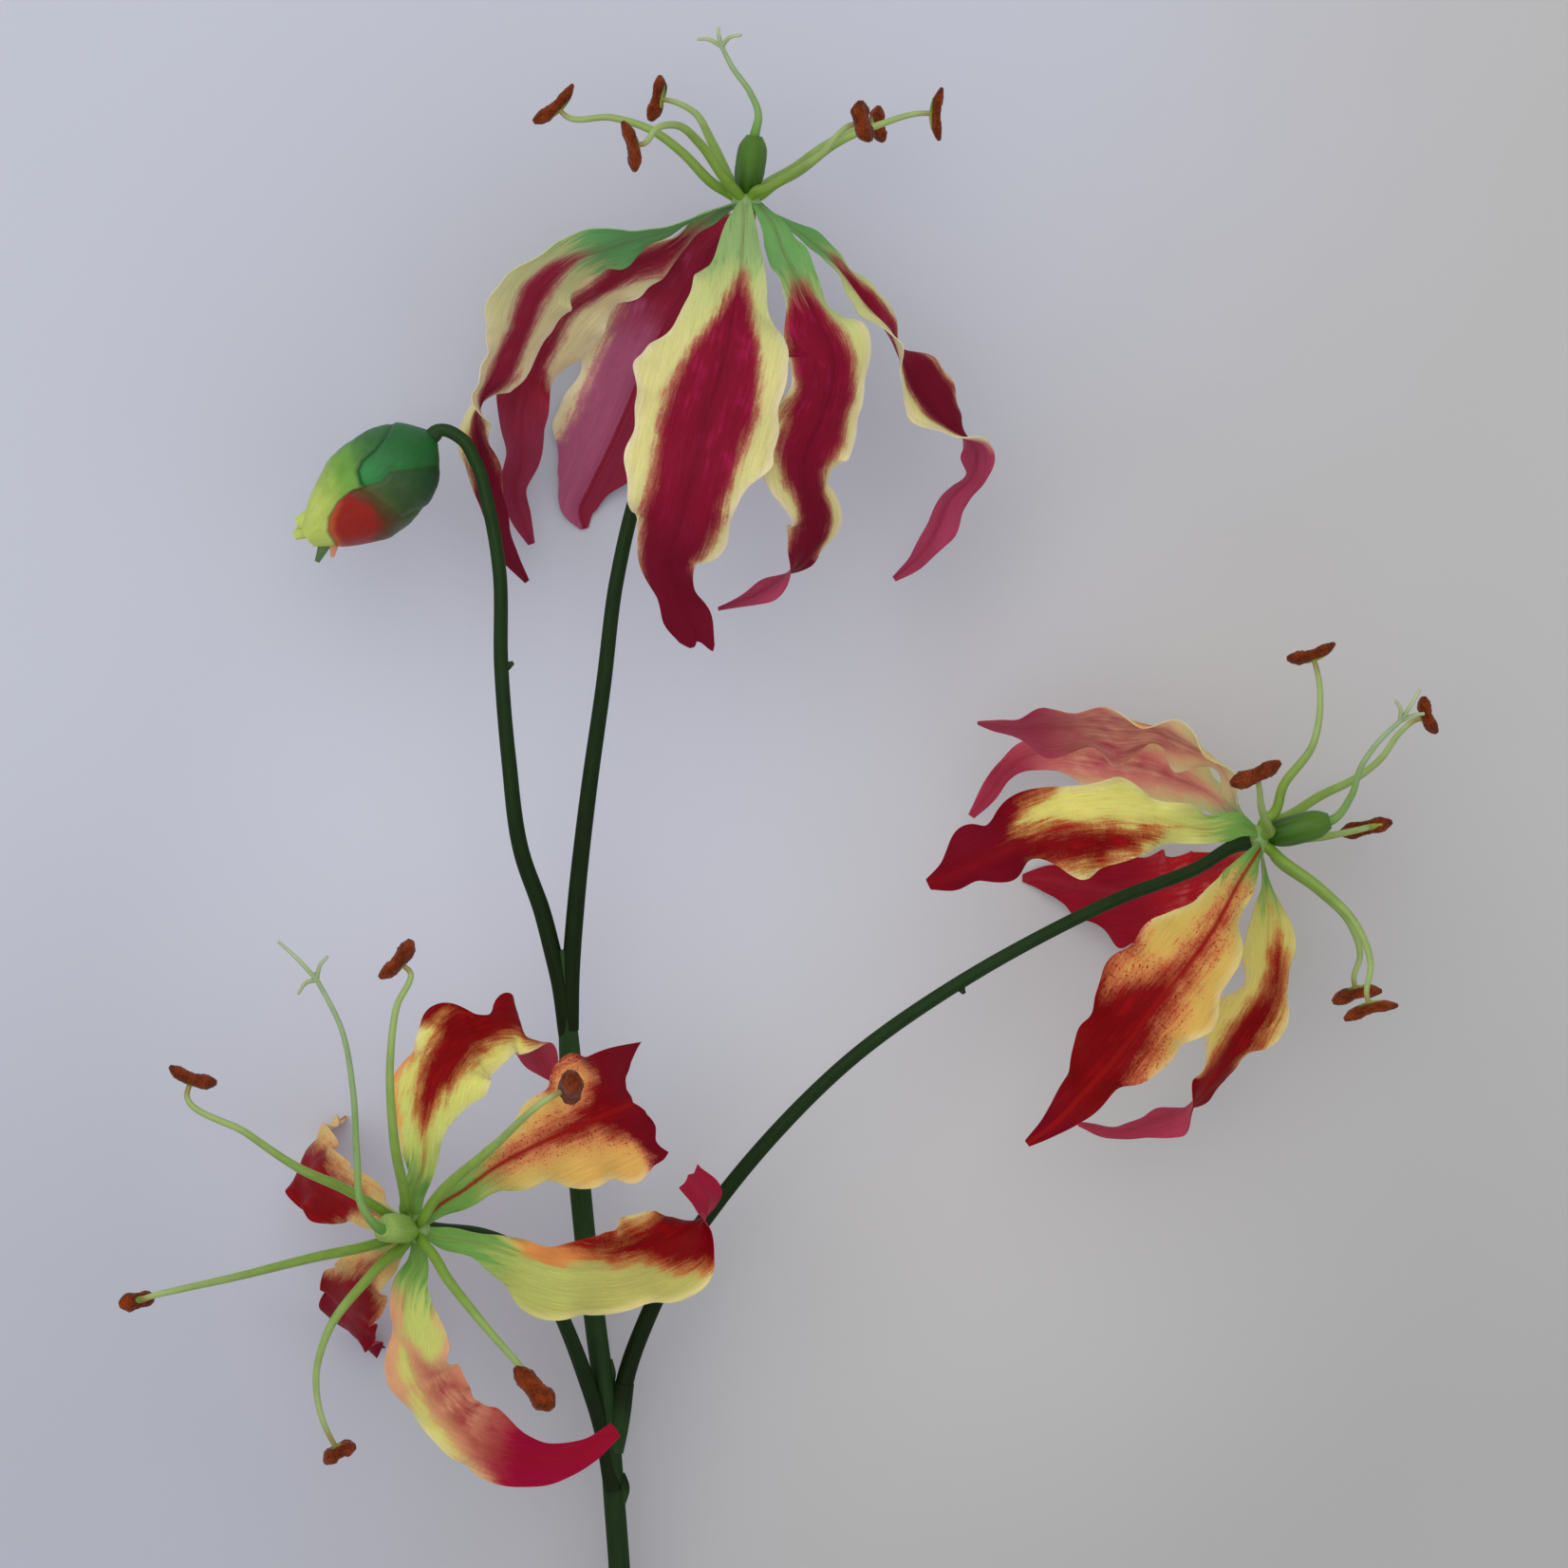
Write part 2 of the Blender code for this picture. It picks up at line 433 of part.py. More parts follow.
# The stems' knots, each (across, down, height).
MAIN_STEM = [(700, 2150, 2.45), (681, 1950, 4), (660, 1750, 8), (648, 1590, 12), (641, 1500, 14.5), (628, 1400, 17),
             (616, 1300, 19.5), (606, 1190, 22.5), (598, 1075, 25.8), (593, 1001, 27.7)]
PEDICELS = {
    "upper": [(600, 1085, 25.6), (601, 1035, 26.8), (603, 1000, 27.8), (608, 940, 29.5), (620, 835, 33), (636, 720, 37),
              (650, 610, 40), (676, 505, 42), (718, 412, 43), (758, 322, 44), (781, 262, 44)],
    "right": [(650, 1500, 14.6), (661, 1445, 15.4), (680, 1393, 16.7), (708, 1336, 18.6), (757, 1265, 21),
              (820, 1190, 24), (900, 1113, 28), (1000, 1042, 33), (1090, 990, 37), (1180, 946, 41), (1262, 914, 43.4)],
    "lower": [(646, 1570, 13.2), (636, 1512, 15), (614, 1443, 20), (594, 1392, 27), (572, 1345, 37), (545, 1316, 46),
              (505, 1300, 53), (470, 1296, 58)],
    "bud": [(598, 1090, 25.4), (590, 1035, 26.8), (582, 1002, 27.6), (571, 960, 28.6), (550, 900, 30),
            (536, 800, 31.5), (528, 700, 33), (526, 600, 34.2), (515, 535, 34.6), (501, 486, 34.6), (487, 463, 34.5)],
}

# Leaf scars and the collar at the lower fork: each one's knots and its radii, spread evenly along it.
SCARS = [
    ([(656, 1552, 13.4), (657, 1569, 13.0), (655, 1589, 12.2)], (0.5, 1.2, 1.3, 1.0, 0.4)),
    ([(530, 704, 33.0), (534, 702, 33.0), (541, 698, 33.0)], (1.0, 0.9, 0.4)),
    ([(1010, 1036, 33.6), (1013, 1042, 33.6), (1016, 1047, 33.6)], (1.0, 0.9, 0.4)),
    ([(657, 1457, 15.2), (654, 1480, 14.8), (648, 1530, 14.0)], (2.3, 2.4, 2.3, 1.8)),
    ([(642, 1462, 15.4), (645, 1446, 15.8), (644, 1432, 16.2)], (0.9, 0.8, 0.3)),
]

# The bud: its base and tip, the outlines of its upper and lower tepal on the likeness, which lie over the third one,
# and the free tips, each with its end and its radii from the root.
BUD_BASE = (455, 460, 34.0)
BUD_TIP = (324, 567, 32.0)
BUD_PROFILE = (0.2, 0.52, 0.76, 0.9, 0.99, 1.03, 1.05, 1.07, 1.06, 1.03, 0.94, 0.84, 0.72, 0.58, 0.42, 0.24)
UPPER_TEPAL = [(384, 516), (380, 508), (377, 496), (382, 486), (395, 475), (406, 462), (415, 445), (420, 400),
               (520, 400), (520, 500), (420, 540)]
LOWER_TEPAL = [(352, 640), (354, 575), (345, 560), (346, 545), (356, 528), (371, 516), (384, 512), (401, 507),
               (411, 497), (455, 491), (520, 487), (520, 640)]
BUD_TIP_ROOT = 0.25
BUD_TIPS = [
    ((312, 551, 33.0), (3.4, 2.9, 1.1)),
    ((310, 565, 32.0), (3.2, 2.7, 0.9)),
    ((334, 592, 31.0), (2.4, 1.6, 0.5)),
    ((350, 587, 32.0), (2.2, 1.4, 0.4)),
]


def claw_roll(bloom, form, claw):
    """The roll at which a petal's upper face looks along the bloom's axis, where it leaves the hub at claw."""
    first = form["knots"][0]
    ahead = unit(seen_at(*first[:3]) - claw)
    flat = across_of(form["facing"], ahead)
    sideways = np.cross(ahead, flat)
    roll = math.degrees(math.atan2(bloom.axis @ sideways, bloom.axis @ flat))
    return first[3] + (roll - first[3] + 180) % 360 - 180


def petal_surface(bloom, form, rows, columns):
    """The petal's middle surface as a grid of points, and its upper face's unit normals."""
    claw = bloom.rim(form["around"], HUB_RADIUS + SEAT_GAP, 0.0)
    knots = [(*claw, claw_roll(bloom, form, claw), CLAW_HALF_WIDTH, CLAW_HALF_WIDTH)]
    knots += [(*seen_at(*knot[:3]), *knot[3:]) for knot in form["knots"]]
    line, ahead = smooth_curve(knots, rows)
    spine = line[:, :3]
    share = np.linspace(0, 1, rows + 1)
    points = np.zeros((rows + 1, columns + 1, 3))
    sides = np.linspace(-1, 1, columns + 1)
    for i, (roll, right, left) in enumerate(line[:, 3:]):
        flat = across_of(form["facing"], ahead[i])
        sideways = np.cross(ahead[i], flat)
        face = math.cos(math.radians(roll)) * flat + math.sin(math.radians(roll)) * sideways
        outward = np.cross(ahead[i], face)
        ramp = min(1.0, share[i] * RUFFLE_RISE) * min(1.0, (1 - share[i]) * RUFFLE_RISE)
        late = max(0.0, (share[i] - FRINGE_START) / (1 - FRINGE_START))
        for j, side in enumerate(sides):
            turn = 2 * math.pi * form["waves"] * share[i] + form["phase"] + (0 if side > 0 else LEFT_EDGE_LAG)
            width = (right if side > 0 else left) * (1 + SCALLOP * ramp * math.cos(turn))
            lift = form["fold"] * abs(side) * width + form["curl"] * side * side * width
            lift += form["ruffle"] * ramp * side * side * math.sin(turn)
            reach = late * late * np.interp(side, FRINGE_SIDES, form["fringe"])
            points[i, j] = spine[i] + outward * side * width + face * lift + ahead[i] * reach
    points[:, :, 2] = np.maximum(points[:, :, 2], PETAL_THICKNESS / 2)
    along = np.gradient(points, axis=0)
    crosswise = np.gradient(points, axis=1)
    normals = np.cross(crosswise, along)
    normals /= np.linalg.norm(normals, axis=2, keepdims=True)
    return points, normals


def petal_mesh(bloom, form):
    """A blade of even thickness, divided alike on both faces."""
    points, normals = petal_surface(bloom, form, PETAL_ROWS, PETAL_COLUMNS)
    half = PETAL_THICKNESS / 2 * normals
    across = PETAL_COLUMNS + 1
    count = (PETAL_ROWS + 1) * across
    corners = [*(points + half).reshape(-1, 3), *(points - half).reshape(-1, 3)]
    faces = []
    for i in range(PETAL_ROWS):
        for j in range(PETAL_COLUMNS):
            a, b = i * across + j, i * across + j + 1
            c, d = b + across, a + across
            faces += [(a, b, c), (a, c, d)]
            faces += [(a + count, c + count, b + count), (a + count, d + count, c + count)]
    last = PETAL_ROWS * across
    rim = [*range(across), *range(2 * across - 1, last, across), *range(last + across - 1, last - 1, -1)]
    rim += [*range(last - across, 0, -across)]
    for here, there in zip(rim, rim[1:] + rim[:1]):
        faces += [(there, here, here + count), (there, here + count, there + count)]
    return corners, faces


def tube_mesh(knots, radii, sides, rings, flatten=1.0, depth=None):
    """A closed tube through the knots. radii are spread evenly along it, and flatten is how deep it is for its
    width, with the depth along the vector depth."""
    line, ahead = smooth_curve(knots, rings, TUBE_BENDS)
    radius = eased(radii, np.linspace(0, 1, rings + 1))
    start = depth if depth is not None else (UP if abs(ahead[0][2]) < STEEP else SIDEWAYS)
    normal = across_of(start, ahead[0])
    corners = []
    for i in range(rings + 1):
        normal = across_of(normal, ahead[i])
        across = np.cross(ahead[i], normal)
        for k in range(sides):
            angle = 2 * math.pi * k / sides
            corners.append(line[i] + radius[i] * (math.cos(angle) * normal * flatten + math.sin(angle) * across))
    return corners, ring_faces(sides, rings)


def ring_faces(sides, rings):
    """The faces of a tube of rings + 1 rings of corners, with a flat cap at each end."""
    faces = [tuple(range(sides - 1, -1, -1)), tuple(range(rings * sides, (rings + 1) * sides))]
    for i in range(rings):
        for k in range(sides):
            after = (k + 1) % sides
            faces.append((i * sides + k, i * sides + after, (i + 1) * sides + after, (i + 1) * sides + k))
    return faces


def hub_mesh(bloom):
    """The small barrel that carries a bloom's petals, filaments and pistil."""
    corners = []
    for rise, radius in HUB_PROFILE:
        for k in range(HUB_SIDES):
            way = bloom.outward(360 * k / HUB_SIDES)
            corners.append(bloom.middle + HUB_RADIUS * radius * way + HUB_HALF_HEIGHT * rise * bloom.axis)
    return corners, ring_faces(HUB_SIDES, len(HUB_PROFILE) - 1)


def anther_place(stamen):
    """The middle of a stamen's anther, the way along it, and the way from the filament's tip to it."""
    ends = [seen_at(*place) for place in stamen[2:4]]
    middle = (ends[0] + ends[1]) / 2
    along = unit(ends[1] - ends[0])
    towards = across_of(middle - seen_at(*stamen[1][-1]), along)
    return middle, along, towards, np.linalg.norm(ends[1] - ends[0])


def filament_mesh(bloom, stamen):
    """A filament from inside the hub to just short of its anther."""
    middle, _, towards, _ = anther_place(stamen)
    root = bloom.rim(stamen[0], FILAMENT_ROOT, HUB_HALF_HEIGHT * 0.4)
    exit_point = bloom.rim(stamen[0], HUB_RADIUS + 0.5, HUB_HALF_HEIGHT + 0.1)
    tip = middle - towards * (ANTHER_HALF_DEPTH * sum(stamen[4]) / 2 + SEAT_GAP)
    knots = [root, exit_point, *[seen_at(*place) for place in stamen[1]], tip - towards * FILAMENT_HOOK, tip]
    return tube_mesh(knots, FILAMENT_RADII, FILAMENT_SIDES, FILAMENT_RINGS)


def anther_mesh(stamen):
    """A plump bar, bowed a little away from its filament."""
    middle, along, towards, length = anther_place(stamen)
    knots = [middle + along * length * share + towards * ANTHER_BOW * (4 * share * share)
             for share in (-0.5, -0.25, 0, 0.25, 0.5)]
    girths = np.linspace(*stamen[4], len(ANTHER_PROFILE))
    radii = [ANTHER_HALF_WIDTH * share * girth for share, girth in zip(ANTHER_PROFILE, girths)]
    return tube_mesh(knots, radii, ANTHER_SIDES, ANTHER_RINGS, ANTHER_HALF_DEPTH / ANTHER_HALF_WIDTH, towards)


def ovary_mesh(base, tip):
    """The three-lobed ovary."""
    axis = unit(tip - base)
    front = across_of(UP if abs(axis[2]) < STEEP else SIDEWAYS, axis)
    side = np.cross(axis, front)
    corners = []
    for ring, share in enumerate(OVARY_PROFILE):
        middle = base + (tip - base) * ring / (len(OVARY_PROFILE) - 1)
        for k in range(OVARY_SIDES):
            angle = 2 * math.pi * k / OVARY_SIDES
            radius = OVARY_RADIUS * share * (1 + OVARY_LOBES * math.cos(3 * angle))
            corners.append(middle + radius * (math.cos(angle) * front + math.sin(angle) * side))
    return corners, ring_faces(OVARY_SIDES, len(OVARY_PROFILE) - 1)


def pistil_meshes(bloom, pistil):
    """The ovary, the style that bends away at its tip, and the three stigma branches."""
    tip, style, stigmas = pistil
    base = bloom.middle + bloom.axis * (HUB_HALF_HEIGHT + SEAT_GAP)
    tip = seen_at(*tip)
    style = [seen_at(*place) for place in style]
    sunk = tip + (base - tip) * 0.15
    meshes = [ovary_mesh(base, tip), tube_mesh([sunk, tip, *style], STYLE_RADII, FILAMENT_SIDES, FILAMENT_RINGS)]
    root = style[-1] + (style[-2] - style[-1]) * 0.12
    for place in stigmas:
        end = seen_at(*place)
        bow = (root + end) / 2 + unit(style[-1] - style[-2]) * STIGMA_BOW
        meshes.append(tube_mesh([root, bow, end], STIGMA_RADII, STIGMA_SIDES, STIGMA_RINGS))
    return meshes


def bud_mesh():
    """The closed bud, with its upper and lower tepal raised over the third."""
    base, tip = seen_at(*BUD_BASE), seen_at(*BUD_TIP)
    axis = unit(tip - base)
    front = across_of(UP, axis)
    side = np.cross(axis, front)
    corners = []
    for ring, share in enumerate(BUD_PROFILE):
        along = ring / (len(BUD_PROFILE) - 1)
        for k in range(BUD_SIDES):
            angle = 2 * math.pi * k / BUD_SIDES
            way = math.cos(angle) * front + math.sin(angle) * side
            place = likeness_of(base + (tip - base) * along + BUD_RADIUS * share * way)
            layer = LOWER_RISE if inside(LOWER_TEPAL, place) > 0 else UPPER_RISE * (inside(UPPER_TEPAL, place) > 0)
            corners.append(base + (tip - base) * along + (BUD_RADIUS * share + layer * share) * way)
    return corners, ring_faces(BUD_SIDES, len(BUD_PROFILE) - 1)


def bud_meshes():
    """The bud and the free tips of its tepals."""
    tip = seen_at(*BUD_TIP)
    root = tip + (seen_at(*BUD_BASE) - tip) * BUD_TIP_ROOT
    tips = [tube_mesh([root, (root + seen_at(*end)) / 2, seen_at(*end)], radii, FILAMENT_SIDES, 3, 0.5)
            for end, radii in BUD_TIPS]
    return [bud_mesh(), *tips]


def stem_meshes():
    """The main stem, the pedicels that leave it, the scars and the collar at the lower fork."""
    meshes = [tube_mesh([seen_at(*place) for place in MAIN_STEM], STEM_RADII, STEM_SIDES, MAIN_RINGS)]
    for name, places in PEDICELS.items():
        knots = [seen_at(*place) for place in places]
        if name in BLOOMS:
            top, axis = BLOOMS[name].middle - BLOOMS[name].axis * HUB_HALF_HEIGHT, BLOOMS[name].axis
        else:
            top, axis = seen_at(*BUD_BASE), unit(seen_at(*BUD_TIP) - seen_at(*BUD_BASE))
        seat = top - axis * SEAT_GAP
        knots += [seat - axis * PEDICEL_NECK, seat]
        meshes.append(tube_mesh(knots, PEDICEL_RADII, STEM_SIDES, PEDICEL_RINGS))
    meshes += [tube_mesh([seen_at(*place) for place in places], radii, STEM_SIDES, SCAR_RINGS)
               for places, radii in SCARS]
    return meshes


def material(name, colour, roughness):
    made = bpy.data.materials.new(name)
    made.use_nodes = True
    shader = made.node_tree.nodes["Principled BSDF"]
    shader.inputs["Base Color"].default_value = (*colour, 1)
    shader.inputs["Roughness"].default_value = roughness
    shader.inputs["Metallic"].default_value = 0
    return made


def place_object(name, shape, look):
    """An object of this shape, with corners in millimetres and faces that point out."""
    corners, faces = shape
    mesh = bpy.data.meshes.new(name)
    mesh.from_pydata([tuple(corner * MM) for corner in corners], [], faces)
    mesh.materials.append(look)
    work = bmesh.new()
    work.from_mesh(mesh)
    bmesh.ops.recalc_face_normals(work, faces=work.faces)
    work.to_mesh(mesh)
    work.free()
    mesh.shade_smooth()
    mesh.set_sharp_from_angle(angle=SHARP_ANGLE)
    made = bpy.data.objects.new(name, mesh)
    bpy.context.scene.collection.objects.link(made)
    return made


def fuse(name, shapes, look):
    """One object that is the union of the shapes."""
    whole = place_object(name, shapes[0], look)
    parts = bpy.data.collections.new(name + "_parts")
    bpy.context.scene.collection.children.link(parts)
    for shape in shapes[1:]:
        part = place_object(name + "_part", shape, look)
        bpy.context.scene.collection.objects.unlink(part)
        parts.objects.link(part)
    union = whole.modifiers.new("union", "BOOLEAN")
    union.operation = "UNION"
    union.operand_type = "COLLECTION"
    union.collection = parts
    union.solver = "EXACT"
    bpy.context.view_layer.update()
    seen = whole.evaluated_get(bpy.context.evaluated_depsgraph_get())
    joined = bpy.data.meshes.new_from_object(seen)
    whole.modifiers.clear()
    whole.data = joined
    for part in list(parts.objects):
        bpy.data.objects.remove(part, do_unlink=True)
    bpy.data.collections.remove(parts)
    return whole


def build_bloom(name, looks):
    bloom = BLOOMS[name]
    for k, form in enumerate(PETALS[name]):
        place_object(f"{name}_bloom_petal_{k + 1}", petal_mesh(bloom, form), looks["petal"])
    stamens = STAMENS[name]
    fuse(f"{name}_bloom_filaments", [hub_mesh(bloom)] + [filament_mesh(bloom, s) for s in stamens], looks["filament"])
    for k, stamen in enumerate(stamens):
        place_object(f"{name}_bloom_anther_{k + 1}", anther_mesh(stamen), looks["anther"])
    fuse(f"{name}_bloom_pistil", pistil_meshes(bloom, PISTILS[name]), looks["pistil"])


def build():
    for old in list(bpy.data.objects):
        bpy.data.objects.remove(old, do_unlink=True)
    looks = {name: material(name, colour, roughness) for name, (colour, roughness) in LOOKS.items()}
    fuse("stem", stem_meshes(), looks["stem"])
    fuse("bud", bud_meshes(), looks["bud"])
    for name in BLOOMS:
        build_bloom(name, looks)


build()
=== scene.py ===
"""The looks of a cut spray of flame lily: waved and striped petals, stamens, pistils, stems and a bud."""

import math

import bmesh
import bpy
import numpy as np
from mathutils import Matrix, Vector, noise


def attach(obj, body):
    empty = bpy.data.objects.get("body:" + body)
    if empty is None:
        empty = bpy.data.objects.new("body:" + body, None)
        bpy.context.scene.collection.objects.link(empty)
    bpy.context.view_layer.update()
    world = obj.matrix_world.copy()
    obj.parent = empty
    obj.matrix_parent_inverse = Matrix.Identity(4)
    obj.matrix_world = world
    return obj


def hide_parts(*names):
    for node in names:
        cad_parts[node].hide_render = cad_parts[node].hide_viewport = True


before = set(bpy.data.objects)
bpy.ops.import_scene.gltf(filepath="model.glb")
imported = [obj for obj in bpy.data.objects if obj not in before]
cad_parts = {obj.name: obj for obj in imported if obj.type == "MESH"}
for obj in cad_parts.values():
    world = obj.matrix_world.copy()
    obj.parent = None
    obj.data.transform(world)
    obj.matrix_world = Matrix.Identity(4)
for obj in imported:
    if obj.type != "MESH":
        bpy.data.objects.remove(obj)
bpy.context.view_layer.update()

# Lengths are in millimetres, and this turns them into metres.
MM = 0.001

# Driving dimensions of the part.
PETAL_THICKNESS = 0.6
CLAW_HALF_WIDTH = 1.35
HUB_RADIUS = 3.2
HUB_HALF_HEIGHT = 2.0
FILAMENT_RADII = (1.2, 1.2, 1.05, 0.85, 0.7, 0.55)
ANTHER_HALF_WIDTH = 1.9
ANTHER_HALF_DEPTH = 1.6
OVARY_RADIUS = 3.1
STYLE_RADII = (1.2, 0.85, 0.7, 0.6, 0.5)
STIGMA_RADII = (0.5, 0.45, 0.35)
PEDICEL_RADII = (2.0, 1.8, 1.6, 1.5, 1.4, 1.4)
STEM_RADII = (2.45, 2.45, 2.4, 2.4, 2.35, 2.3, 2.3, 2.3, 2.3, 2.3, 2.35, 1.2)
BUD_RADIUS = 9.6
UPPER_RISE = 0.6
LOWER_RISE = 0.9
RUFFLE_RISE = 4.0
SCALLOP = 0.09
FRINGE_SIDES = (-1, -0.75, -0.5, -0.25, 0, 0.25, 0.5, 0.75, 1)
FRINGE_START = 0.8
LEFT_EDGE_LAG = 2.2
FILAMENT_ROOT = 1.6
FILAMENT_HOOK = 1.2
ANTHER_BOW = 0.9
STIGMA_BOW = 0.8
PEDICEL_NECK = 2.0
ANTHER_PROFILE = (0.3, 0.85, 1.0, 0.9, 0.85, 0.9, 1.0, 0.85, 0.3)
OVARY_PROFILE = (0.5, 0.84, 0.98, 1.0, 1.0, 0.9, 0.52)

# How finely the pieces are divided.
PETAL_ROWS = 150
PETAL_COLUMNS = 26
SPAN_STEPS = 40

# The way up, and what a tube that starts steeper than STEEP measures its rings from instead.
UP = np.array([0.0, 0.0, 1.0])
SIDEWAYS = np.array([0.0, 1.0, 0.0])
STEEP = 0.9

# The camera stands where the part's own places are seen from.
LIKENESS_SIDE = 1652
MM_PER_UNIT = 0.2
REF_HEIGHT = 40.0
EYE_HEIGHT = 1500.0
EYE_X = -2.6
EYE_Y = 56.4
SENSOR = 36.0

# Finer forms than the part's solids have.
BLADE_THICKNESS = 0.4
EDGE_CROWD = 0.85
EDGE_NICK = 0.10
NICK_RATE = 0.16
FINE_RUFFLE = 2.2
FINE_RATE = 0.17
SWELL = 1.1
SWELL_RATE = 0.09
RIB_DEPTH = 0.45
RIB_WIDTH = 0.8
PLEAT_DEPTH = 0.05
PLEAT_RATE = 2.6
HUB_SIDES = 48
HUB_LOBES = 0.06
HUB_ROUND = tuple((math.sin(t), max(0.25, math.cos(t) ** 0.6)) for t in np.linspace(-1.45, 1.45, 15))
TIP_JAG = 0.8
TIP_SPREAD = 4.0
BUD_SIDES = 220
BUD_RINGS = 130
BUD_RIPPLE = 0.2
BUD_TIP_LOOKS = ("bud_tip", "bud_tip", "bud_tip_green", "bud_tip_rust")
SHARP_EDGE = math.radians(50)

# How far the claws, ovaries, styles, stigma branches and pedicels reach into what carries them, how far
# outside the hub a filament leaves it, and how wide a pedicel flares at its end.
CLAW_SUNK = 0.4
FILAMENT_EXIT = 0.5
OVARY_SUNK = 0.3
STYLE_SUNK = 0.15
STIGMA_SUNK = 0.12
PEDICEL_SUNK = 0.3
PEDICEL_FLARE = 1.3

# The floor's colours, half width and depth below the part, the sky, and the two lights.
FLOOR_COOL = (0.79, 0.80, 0.84)
FLOOR_WARM = (0.765, 0.76, 0.75)
FLOOR_HALF = 1500.0
FLOOR_DROP = 0.02
WORLD_COLOUR = (0.89, 0.895, 0.925)
WORLD_STRENGTH = 0.70
KEY_LIGHT = {"place": (-0.45, 0.6, 1.3), "aim": (0, 0.05, 0), "size": 2.2, "power": 11.5,
             "colour": (1.0, 0.98, 0.96)}
FILL_LIGHT = {"place": (0.9, -0.3, 1.1), "aim": (0, 0, 0), "size": 1.2, "power": 1.5,
              "colour": (0.95, 0.97, 1.0)}


def seen_at(across, down, height):
    """The point at this height that is seen at (across, down) in the likeness."""
    scale = MM_PER_UNIT * (EYE_HEIGHT - height) / (EYE_HEIGHT - REF_HEIGHT)
    half = LIKENESS_SIDE / 2
    return np.array([EYE_X + (across - half) * scale, EYE_Y + (half - down) * scale, height])


def seen_along(places):
    """The point that is seen at each (across, down, height) of places."""
    return [seen_at(*place) for place in places]


def likeness_of(point):
    """The across and down on the plant's likeness of a point."""
    near = (EYE_HEIGHT - REF_HEIGHT) / (EYE_HEIGHT - point[2]) / MM_PER_UNIT
    half = LIKENESS_SIDE / 2
    return np.array([half + (point[0] - EYE_X) * near, half - (point[1] - EYE_Y) * near])


def inside(outline, place):
    """How far a place of the likeness is inside an outline, in millimetres. Outside it is below 0."""
    within, nearest = False, math.inf
    for start, end in zip(outline, outline[1:] + outline[:1]):
        start, span = np.array(start, float), np.subtract(end, start)
        away = place - start
        crosses = (start[1] > place[1]) != (start[1] + span[1] > place[1])
        if crosses and away[0] < span[0] * away[1] / span[1]:
            within = not within
        share = min(1.0, max(0.0, away @ span / (span @ span)))
        nearest = min(nearest, np.linalg.norm(away - share * span))
    return nearest * MM_PER_UNIT * (1 if within else -1)


def unit(vector):
    """The vector at length 1."""
    return vector / np.linalg.norm(vector)


def across_of(vector, direction):
    """The part of vector that is square to the unit vector direction, at unit length."""
    return unit(vector - direction * np.dot(vector, direction))


def smooth_curve(knots, count, bends=0.0):
    """count + 1 rows along a smooth curve through the knots, whose first three columns are its place, and
    the unit vectors along it. The rows are evenly spaced, and with bends above 0 closer at its bends."""
    knots = np.asarray(knots, float)
    at = np.r_[0, np.cumsum(np.linalg.norm(np.diff(knots[:, :3], axis=0), axis=1))]
    slope = np.gradient(knots, at, axis=0)
    rows = [knots[0]]
    for k in range(len(knots) - 1):
        span = at[k + 1] - at[k]
        for step in range(1, SPAN_STEPS + 1):
            t = step / SPAN_STEPS
            start = (1 + 2 * t) * (1 - t) ** 2 * knots[k] + t * (1 - t) ** 2 * span * slope[k]
            end = t * t * (3 - 2 * t) * knots[k + 1] + t * t * (t - 1) * span * slope[k + 1]
            rows.append(start + end)
    rows = np.array(rows)
    steps = np.linalg.norm(np.diff(rows[:, :3], axis=0), axis=1)
    run = np.r_[0, np.cumsum(steps)]
    ahead = np.gradient(rows[:, :3], run, axis=0)
    ahead /= np.linalg.norm(ahead, axis=1, keepdims=True)
    turn = np.r_[0, np.cumsum(np.linalg.norm(np.diff(ahead, axis=0), axis=1))]
    pace = (1 - bends) * run / run[-1] + bends * turn / max(turn[-1], 1e-9)
    even = np.linspace(0, pace[-1], count + 1)
    line = np.stack([np.interp(even, pace, column) for column in rows.T], 1)
    ahead = np.stack([np.interp(even, pace, column) for column in ahead.T], 1)
    return line, ahead / np.linalg.norm(ahead, axis=1, keepdims=True)


def eased(values, share):
    """The value at each share from 0 to 1 of a smooth line through evenly spaced values."""
    values = np.asarray(values, float)
    places = np.linspace(0, 1, len(values))
    slope = np.gradient(values, places)
    k = np.clip((np.asarray(share) * (len(values) - 1)).astype(int), 0, len(values) - 2)
    span = places[1]
    t = (share - places[k]) / span
    start = (1 + 2 * t) * (1 - t) ** 2 * values[k] + t * (1 - t) ** 2 * span * slope[k]
    end = t * t * (3 - 2 * t) * values[k + 1] + t * t * (t - 1) * span * slope[k + 1]
    return start + end


class Bloom:
    """A bloom's hub: its middle, the way that its pistil points, and the directions round it."""

    def __init__(self, across, down, height, axis):
        self.middle = seen_at(across, down, height)
        self.axis = unit(np.array(axis, float))
        self.front = across_of(UP, self.axis)
        self.side = np.cross(self.axis, self.front)

    def outward(self, around):
        """The direction away from the axis at this angle, in degrees from the side that faces up."""
        angle = math.radians(around)
        return math.cos(angle) * self.front + math.sin(angle) * self.side

    def rim(self, around, radius, rise):
        """The point this far out at this angle, and this far along the axis from the middle."""
        return self.middle + radius * self.outward(around) + rise * self.axis


# Each bloom's hub: where it is seen, its height, and the way that its pistil points.
BLOOMS = {
    "upper": Bloom(786, 214, 44, (0.0, 1.0, 0.0)),
    "right": Bloom(1326, 884, 44, (0.97, 0.24, 0.0)),
    "lower": Bloom(438, 1295, 66, (-0.45, 0.0, 0.89)),
}


